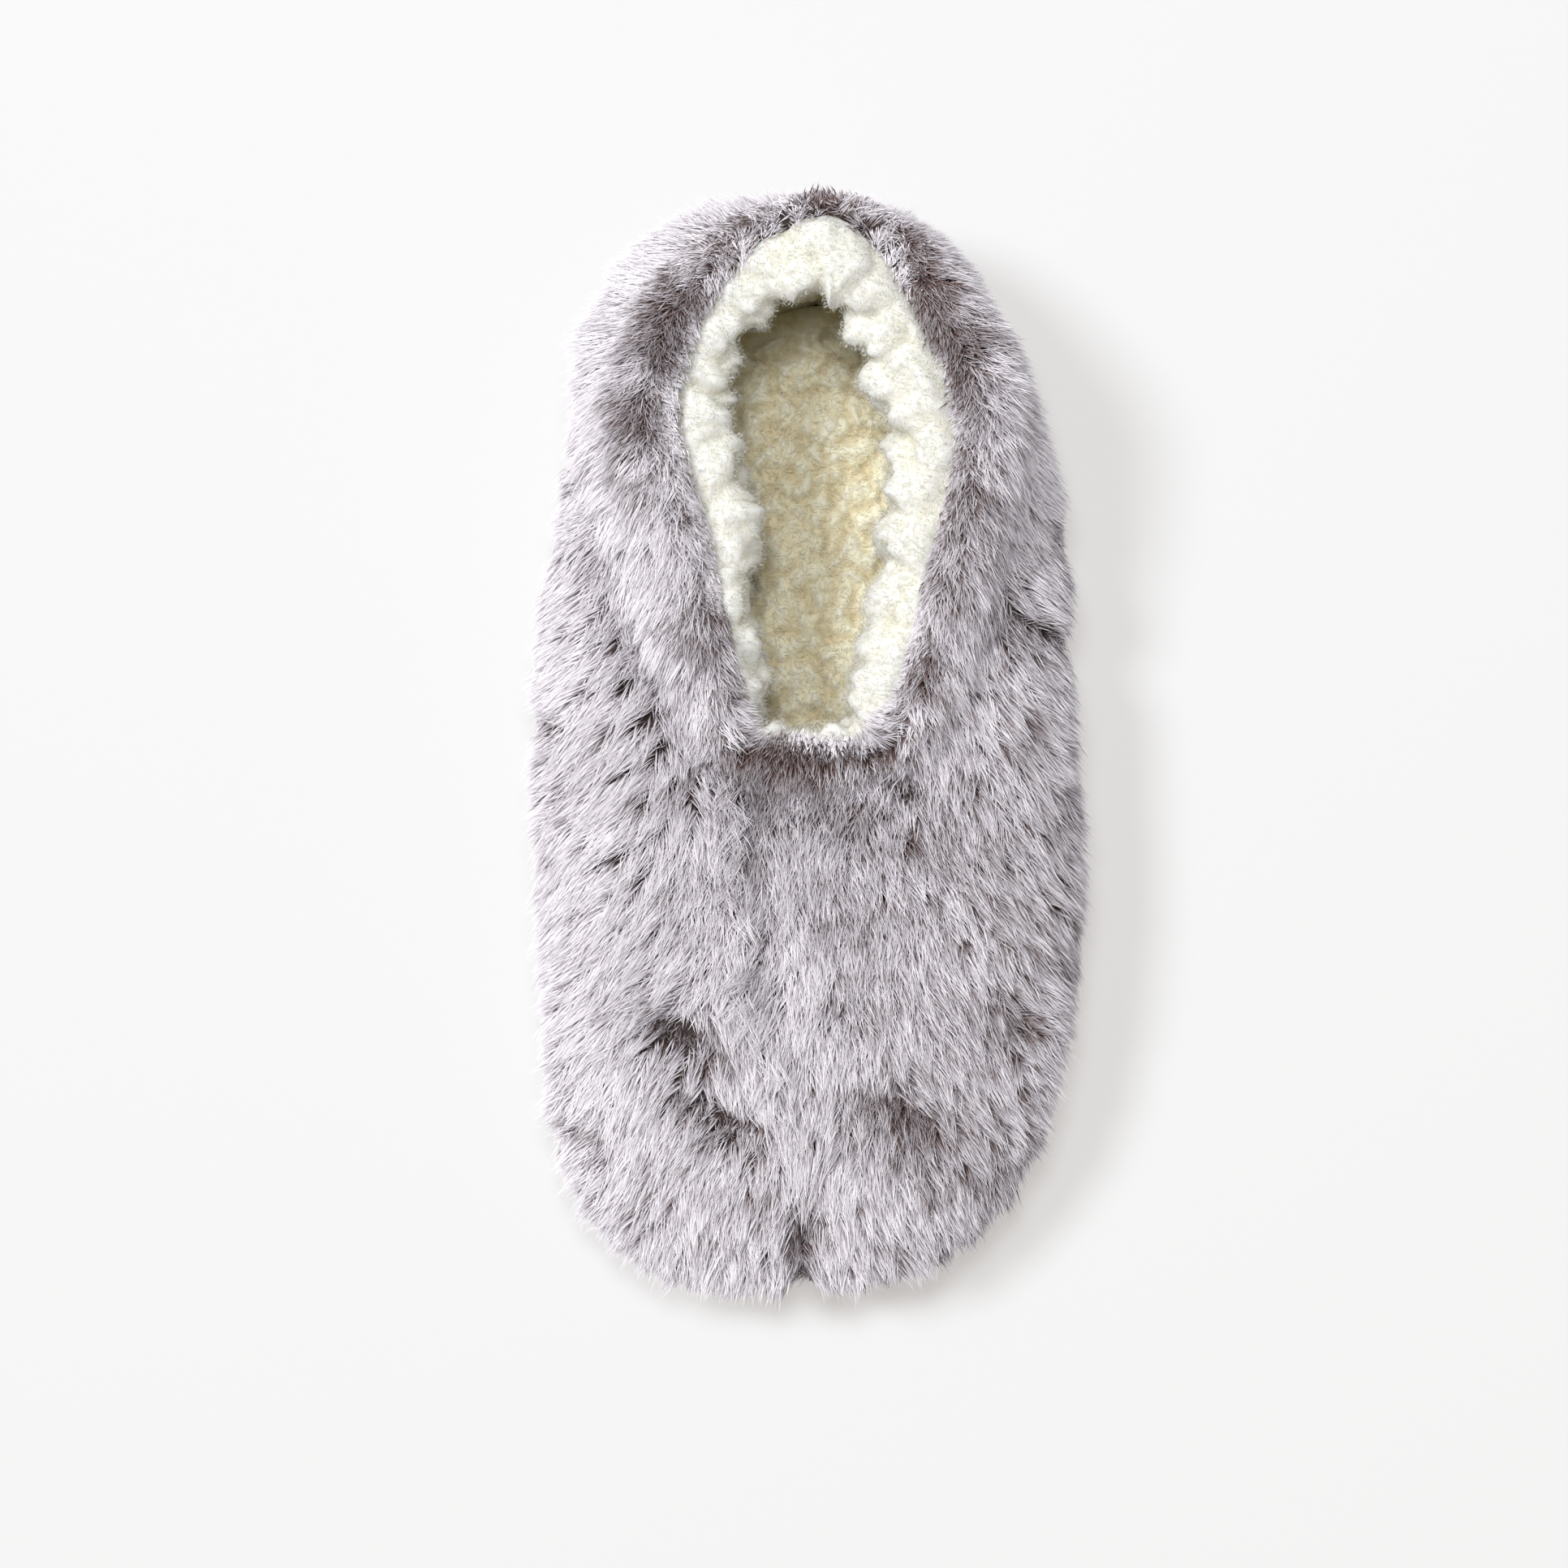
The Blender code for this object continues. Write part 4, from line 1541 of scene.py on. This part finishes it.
    def zones(self, roots: Roots) -> Array:
        """The number of the zone in which each lock grows.

        Args:
            roots: The locks' roots.

        Returns:
            Places in the zones' order.
        """
        number = {zone: place for place, zone in enumerate(FurZone)}
        y = roots.point[:, 1]
        left = roots.point[:, 0] < 0
        vamp = np.where(left, number[FurZone.VAMP_LEFT], number[FurZone.VAMP_RIGHT])
        quarter = np.where(left, number[FurZone.QUARTER_LEFT], number[FurZone.QUARTER_RIGHT])
        zone = np.where(y < self.vamp_line, vamp, quarter)
        zone = np.where(y < self.toe_line, number[FurZone.TOE], zone)
        zone = np.where(y > self.heel_line, number[FurZone.HEEL], zone)
        return np.where(roots.on_hem > 0, number[FurZone.COLLAR], zone)


@dataclass
class Backing:
    """The fur's cloth backing: the skin and, a little inside it, the wall's inner face."""

    skin: Skin
    finish: ClothFinish = ClothFinish("fur_backing", (0.045, 0.034, 0.032), (0.085, 0.066, 0.062), 900.0)
    row_step: int = 2
    column_step: int = 4
    inner_rows: int = 24

    def build(self, fibres: bpy.types.NodeTree) -> None:
        """Builds the backing as one closed shell.

        Args:
            fibres: The shared group of fine fibres.
        """
        last = self.skin.last
        heights = np.linspace(1.0, 0.0, self.inner_rows)
        inner = last.placed(last.inside(heights, last.fur_backing))
        rings = np.concatenate([self.skin.points[:: self.row_step], inner])[:, :: self.column_step]
        faces = grid_faces(*rings.shape[:2], closed=True)
        piece = add_piece(
            "upper_backing", rings.reshape(-1, 3), (faces,), self.finish.material(fibres)
        )
        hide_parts("upper")


@dataclass(frozen=True)
class Fuzz:
    """Short curly fibres that stand off a fleece: bent slivers, widest at their middle.

    Their middles and tips are given in lengths off the fleece and ahead along it.
    """

    name: str
    slot: str
    count: int
    seed: int
    length: float
    bend: float = 0.9
    width: float = 0.00016
    lengths: Span = (0.6, 1.3)
    middle_off: float = 0.45
    middle_ahead: float = 0.35
    tip_off: float = 0.62
    stray: float = 0.3
    shade_gain: float = 0.12
    shade_spread: float = 0.1

    def add(
        self, points: Array, normals: Array, curl: Array, rows: tuple[int, int], material: bpy.types.Material
    ) -> None:
        """Grows the fibres on some rows of a fleece.

        Args:
            points: The fleece's grid.
            normals: Its normals.
            curl: Its curl values, which also set the painted hollow shade.
            rows: The first row to grow on and the row after the last.
            material: The fleece's material.
        """
        chosen = even_choice(points, rows, self.count, self.seed)
        root, normal = points[chosen], normals[chosen]
        chance = np.random.default_rng(self.seed + 2)
        side = unit(np.cross(normal, chance.normal(size=(self.count, 3))))
        ahead = np.cross(side, normal)
        length = self.length * chance.uniform(*self.lengths, (self.count, 1))
        middle = root + (normal * self.middle_off + ahead * self.middle_ahead * self.bend) * length
        aside = side * chance.normal(0, self.stray, (self.count, 1))
        tip = root + (normal * self.tip_off + ahead * self.bend + aside) * length
        half = side * self.width / 2
        body = np.stack([root, middle - half, middle + half, tip], 1).reshape(-1, 3)
        # Each fibre takes the curl value where it grows, so it carries that place's painted hollow shade, a
        # little paler.
        shade = curl[chosen] + chance.normal(self.shade_gain, self.shade_spread, self.count)
        values = {"curl": np.repeat(np.clip(shade, 0, 1), 4)}
        add_piece(self.name, body, (strand_faces(self.count),), material, values=values)


class CurlLayer(NamedTuple):
    """One size of curls: how far apart and how high they are, in metres, and their share of the curl value
    that sets the painted hollow shade.
    """

    size: float
    height: float
    shade: float


@dataclass
class FleeceLining:
    """The curly fleece inside the upper, which rolls out past the hem all round the collar.

    Its wall lies a fleece's thickness inside the upper. The roll is an ellipse in each section,
    from under the hem round its inner side and over its top into the hem. Turns round the roll are
    in degrees from straight in.
    """

    last: Last
    finish: FleeceFinish = FleeceFinish(
        name="lining_fleece",
        # Painted shade in the hollows between the lining's curls.
        painted_hollow_shade=(0.86, 0.78, 0.54),
        middle=(0.94, 0.91, 0.80),
        crown=(0.955, 0.94, 0.875),
        stops=(0.04, 0.34, 0.75),
        scatter=0.0030,
    )
    seed: int = 31
    fuzz: Fuzz = Fuzz("lining_fuzz", "lining_fleece", 46000, 31, 0.0018)
    curls: tuple[CurlLayer, ...] = (
        CurlLayer(0.0088, 0.0046, 0.40),
        CurlLayer(0.0052, 0.0022, 0.35),
        CurlLayer(0.0030, 0.0008, 0.25),
    )
    warp_length: float = 0.012
    warp_spread: float = 0.0010
    wall_rows: int = 36
    roll_rows: int = 60
    wall_top: float = 0.86
    roll_turn: Span = (-95.0, 165.0)
    roll_height: float = 0.0068
    roll_drop: float = 0.0062
    roll_tuck: float = 0.65
    top_press: float = 0.55
    top_turn: Span = (20.0, 80.0)
    end_turn: float = 70.0
    end_span: float = 60.0
    lifted_turn: float = 30.0
    full_lift: float = 4.0
    wall_relief: Span = (0.7, 0.9)
    # Painted shade down the lining's wall: its curl value is scaled from the first share at the foot to the
    # second at the top. roll_shade is the least curl value on the roll, which keeps the roll's painted hollow
    # shade light.
    painted_wall_shade: Span = (0.2, 1.0)
    roll_shade: float = 0.3
    fuzz_rows: tuple[int, int] = (18, 86)

    def smooth_form(self) -> tuple[Array, Array]:
        """The lining without its curls, and the way in which curls stand off it.

        Returns:
            A grid of points and a grid of directions.
        """
        last = self.last
        heights = np.linspace(0.0, self.wall_top, self.wall_rows)
        depth = last.fur_backing + last.gap + last.lining_thickness
        wall = last.inside(heights, depth)
        swell = last.column("swell", COLLAR_TRIM) * MM
        inner = last.hem_radius + last.roll + swell - self.roll_tuck * self.curls[0].height
        outer = last.hem_radius * last.column("cover", COLLAR_TRIM)
        lift = last.column("lift", COLLAR_TRIM) * MM - self.roll_drop
        middle = last.collar + last.inward * ((inner + outer) / 2)[:, None] + UP * lift[:, None]
        turn = np.radians(np.linspace(*self.roll_turn, self.roll_rows))[:, None, None]
        half = ((inner - outer) / 2)[:, None]
        roll = middle + last.inward * half * np.cos(turn) + UP * self.roll_height * np.sin(turn)
        off_roll = unit(last.inward * np.cos(turn) + UP * np.sin(turn))
        off_wall = -last.normals(heights)
        return last.placed(np.concatenate([wall, roll])), np.concatenate([off_wall, off_roll])

    def relief(self) -> Array:
        """The share of their height that curls keep: less on the wall and the roll's top, none in the hem.

        Returns:
            A share for each point of the grid.
        """
        turn = np.linspace(*self.roll_turn, self.roll_rows)[:, None]
        lifted = np.clip(self.last.column("lift", COLLAR_TRIM) / self.full_lift, 0.0, 1.0)
        into_hem = (turn - self.end_turn - self.lifted_turn * lifted) / self.end_span
        on_roll = 1.0 - self.top_press * smooth_step(*self.top_turn, turn)
        on_roll = on_roll * (1.0 - smooth_step(0.0, 1.0, into_hem))
        on_wall = np.linspace(*self.wall_relief, self.wall_rows)[:, None]
        return np.concatenate([np.broadcast_to(on_wall, (self.wall_rows, self.last.count)), on_roll])

    def build(self, fibres: bpy.types.NodeTree) -> None:
        """Builds the lining's curls, and fuzz from halfway up its wall to near the end of its roll.

        Args:
            fibres: The shared group of fine fibres.
        """
        smooth, off = self.smooth_form()
        waves = (Waves(self.seed + k, self.warp_length, self.warp_spread) for k in range(3))
        warp = np.stack([wave(smooth) for wave in waves], -1)
        domes = [
            Florets(self.seed + k, curls.size, smooth)(smooth + warp) for k, curls in enumerate(self.curls)
        ]
        lift = sum(dome * curls.height for dome, curls in zip(domes, self.curls)) * self.relief()
        curl = sum(dome * curls.shade for dome, curls in zip(domes, self.curls))
        # Painted shade: the wall's curl value falls towards its foot, deep inside the shoe, so it takes the
        # hollow colour. On the roll the value is kept higher, so the roll carries less painted shade.
        curl[: self.wall_rows] *= np.linspace(*self.painted_wall_shade, self.wall_rows)[:, None]
        curl[self.wall_rows :] = self.roll_shade + (1.0 - self.roll_shade) * curl[self.wall_rows :]
        points = smooth + off * lift[..., None]
        faces = grid_faces(*points.shape[:2], closed=False)[:, ::-1]
        material = self.finish.material(fibres)
        body = points.reshape(-1, 3)
        piece = add_piece("lining_fleece", body, (faces,), material, values={"curl": curl})
        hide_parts("lining")
        self.fuzz.add(points, -grid_normals(points), curl, self.fuzz_rows, material)


class TuftLayer(NamedTuple):
    """One size of tufts: their fall and tilt, how many go along a cell, and their share of the relief and of
    the curl value that sets the painted hollow shade.
    """

    fall: float
    tilt: float
    per_cell: float
    share: float


@dataclass
class FleeceInsole:
    """The padded insole: a crowned pad of pressed curls inside the lining's foot."""

    last: Last
    finish: FleeceFinish = FleeceFinish(
        name="insole_fleece",
        # Painted shade in the creases between the insole's tufts.
        painted_hollow_shade=(0.78, 0.70, 0.49),
        middle=(0.92, 0.855, 0.645),
        crown=(0.98, 0.935, 0.785),
        stops=(0.12, 0.48, 0.86),
        scatter=0.0008,
    )
    seed: int = 51
    fuzz: Fuzz = Fuzz("insole_fuzz", "insole_fleece", 24000, 51, 0.0015, bend=1.1)
    tufts: tuple[TuftLayer, ...] = (TuftLayer(1.9, 0.20, 1.0, 0.72), TuftLayer(1.7, 0.10, 1.9, 0.28))
    tuft_size: float = 0.0046
    tuft_height: float = 0.0036
    warp_length: float = 0.009
    warp_spread: float = 0.0009
    under_rows: int = 5
    edge_rows: int = 8
    face_rows: int = 61
    clearance: float = 0.0010
    crown: float = 0.0055

    def smooth_form(self) -> Array:
        """The pad without its curls: its underside, its rounded edge and its face.

        Returns:
            A grid of points.
        """
        last = self.last
        inset = last.fur_backing + last.gap + last.lining_thickness + self.clearance
        floor = last.sole_thickness + last.gap
        edge = np.stack(
            [
                last.plan_inset(
                    inset + self.crown * (1 - math.cos(turn)), floor + last.insole_thickness * math.sin(turn)
                )
                for turn in np.linspace(0.0, math.pi / 2, self.edge_rows)
            ]
        )
        face = last.towards_spine(edge[-1], np.linspace(0.0, 1.0, self.face_rows + 1)[1:])
        under = last.towards_spine(edge[0], np.linspace(1.0, 0.0, self.under_rows + 1)[:-1])
        return last.placed(np.concatenate([under, edge, face]))

    def build(self, fibres: bpy.types.NodeTree) -> None:
        """Builds the insole's pad, and the curls and fuzz on its face.

        Args:
            fibres: The shared group of fine fibres.
        """
        smooth = self.smooth_form()
        normals = np.broadcast_to(UP, smooth.shape)
        waves = (Waves(self.seed + k, self.warp_length, self.warp_spread) for k in range(2))
        warp = np.stack([wave(smooth) for wave in waves], -1)
        cells = (smooth[..., :2] + warp) / self.tuft_size
        # The curl value lifts the tufts and sets the painted shade in the creases between them.
        curl = sum(
            layer.share * Tufts(self.seed + k, layer.fall, layer.tilt)(cells * layer.per_cell)
            for k, layer in enumerate(self.tufts)
        )
        first = self.under_rows + self.edge_rows
        on_face = (np.arange(len(smooth)) >= first)[:, None]
        points = smooth + normals * ((curl - 0.5) * self.tuft_height * on_face)[..., None]
        faces = unfolded(points, grid_faces(*points.shape[:2], closed=False))
        material = self.finish.material(fibres)
        body = points.reshape(-1, 3)
        piece = add_piece("insole_fleece", body, faces, material, values={"curl": curl})
        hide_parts("insole")
        self.fuzz.add(points, normals, curl, (first + 1, len(points) - 1), material)


@dataclass
class Outsole:
    """The soft cloth sole: a rounded edge, a flat underside and a bound seam near the edge."""

    last: Last
    finish: ClothFinish = ClothFinish("sole_cloth", (0.115, 0.100, 0.102), (0.205, 0.185, 0.188), 620.0)
    column_step: int = 4
    face_rows: int = 30
    edge_rows: int = 9
    edge_inset: float = 0.0013
    seam_inset: float = 0.0065
    seam_depth: float = 0.0006
    seam_width: float = 0.0011
    crowding: float = 1.6

    def build(self, fibres: bpy.types.NodeTree) -> None:
        """Builds the sole as one closed shell.

        Args:
            fibres: The shared group of fine fibres.
        """
        last = self.last
        half = last.sole_thickness / 2
        turn = np.linspace(math.pi / 2, -math.pi / 2, self.edge_rows)
        edge = np.stack(
            [last.plan_inset(self.edge_inset * (1 - math.cos(a)), half + half * math.sin(a)) for a in turn]
        )
        shares = np.linspace(0.0, 1.0, self.face_rows) ** self.crowding
        top = last.towards_spine(edge[0], shares[:0:-1])
        bottom = last.towards_spine(edge[-1], shares[1:])
        rings = last.placed(np.concatenate([top, edge, bottom]))
        way_in = np.linalg.norm(rings - rings[len(top) + self.edge_rows // 2], axis=-1)
        under = np.arange(len(rings))[:, None] >= len(top) + self.edge_rows
        groove = bell(way_in - self.seam_inset, self.seam_width) * under
        rings = rings + UP * (groove * self.seam_depth)[..., None]
        rings = rings[:, :: self.column_step]
        faces = unfolded(rings, grid_faces(*rings.shape[:2], closed=False)[:, ::-1])
        material = self.finish.material(fibres)
        piece = add_piece("sole_cloth", rings.reshape(-1, 3), faces, material)
        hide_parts("outsole")


class Lamp(NamedTuple):
    """A round soft lamp: its place in metres, its width and its power in watts."""

    name: str
    place: tuple[float, float, float]
    size: float
    energy: float


@dataclass
class Studio:
    """The pale floor, the soft light and the overhead camera."""

    floor_size: float = 6.0
    floor_colour: Colour = (0.393, 0.416, 0.434)
    floor_glow: Colour = (0.475, 0.447, 0.425)
    floor_roughness: float = 0.9
    floor_specular: float = 0.1
    camera_place: tuple[float, float, float] = (-0.0059, -0.0099, 1.30)
    half_view: float = 0.18445
    view_distance: float = 1.275
    sky: float = 0.20
    lamps: tuple[Lamp, ...] = (
        Lamp("key", (-4.22, 1.70, 6.98), 2.4, 430.0),
        Lamp("top", (-0.06, 0.34, 1.60), 0.4, 12.5),
    )

    def build(self) -> None:
        """Builds the floor, the lights and the camera."""
        self.add_floor()
        self.add_light()
        self.add_camera()

    def add_floor(self) -> None:
        """The floor: a square of matt paper. It glows warmer than it is lit, which warms its shadows."""
        half = self.floor_size / 2
        corners = [(x * half, y * half, 0.0) for x, y in ((-1, -1), (1, -1), (1, 1), (-1, 1))]
        mesh = bpy.data.meshes.new("floor")
        mesh.from_pydata(corners, [], [(0, 1, 2, 3)])
        material, nodes, shader = new_material("floor_paper")
        nodes.set(
            shader,
            Base_Color=(*self.floor_colour, 1.0),
            Emission_Color=(*self.floor_glow, 1.0),
            Emission_Strength=1.0,
            Roughness=self.floor_roughness,
            Specular_IOR_Level=self.floor_specular,
        )
        mesh.materials.append(material)
        floor = bpy.data.objects.new("floor", mesh)
        bpy.context.scene.collection.objects.link(floor)

    def add_light(self) -> None:
        """An even pale sky and the soft lamps, each turned to the slipper."""
        world = bpy.data.worlds.new("studio")
        world.use_nodes = True
        background = world.node_tree.nodes["Background"]
        background.inputs["Color"].default_value = (1.0, 1.0, 1.0, 1.0)
        background.inputs["Strength"].default_value = self.sky
        bpy.context.scene.world = world
        for lamp in self.lamps:
            data = bpy.data.lights.new(lamp.name, "AREA")
            data.shape = "DISK"
            data.size = lamp.size
            data.energy = lamp.energy
            light = bpy.data.objects.new(lamp.name, data)
            x, y, z = lamp.place
            light.location = lamp.place
            light.rotation_euler = (math.atan2(math.hypot(x, y), z), 0.0, math.atan2(-y, -x) - math.pi / 2)
            bpy.context.scene.collection.objects.link(light)

    def add_camera(self) -> None:
        """A camera straight above, its frame as wide as the photo's."""
        data = bpy.data.cameras.new("overhead")
        data.sensor_fit = "HORIZONTAL"
        data.angle = 2 * math.atan(self.half_view / self.view_distance)
        camera = bpy.data.objects.new("overhead", data)
        camera.location = self.camera_place
        bpy.context.scene.collection.objects.link(camera)
        bpy.context.scene.camera = camera
        bpy.context.scene.view_settings.view_transform = "Standard"


def main() -> None:
    """Builds the slipper's pieces in order."""
    logging.basicConfig(level=logging.INFO, format="%(name)s %(message)s")
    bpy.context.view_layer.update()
    fibres = fibre_group()
    last = Last()
    skin = Skin(last)
    Outsole(last).build(fibres)
    FleeceInsole(last).build(fibres)
    FleeceLining(last).build(fibres)
    Backing(skin).build(fibres)
    Fur(skin).build()
    Studio().build()


if __name__ == "__main__":
    main()
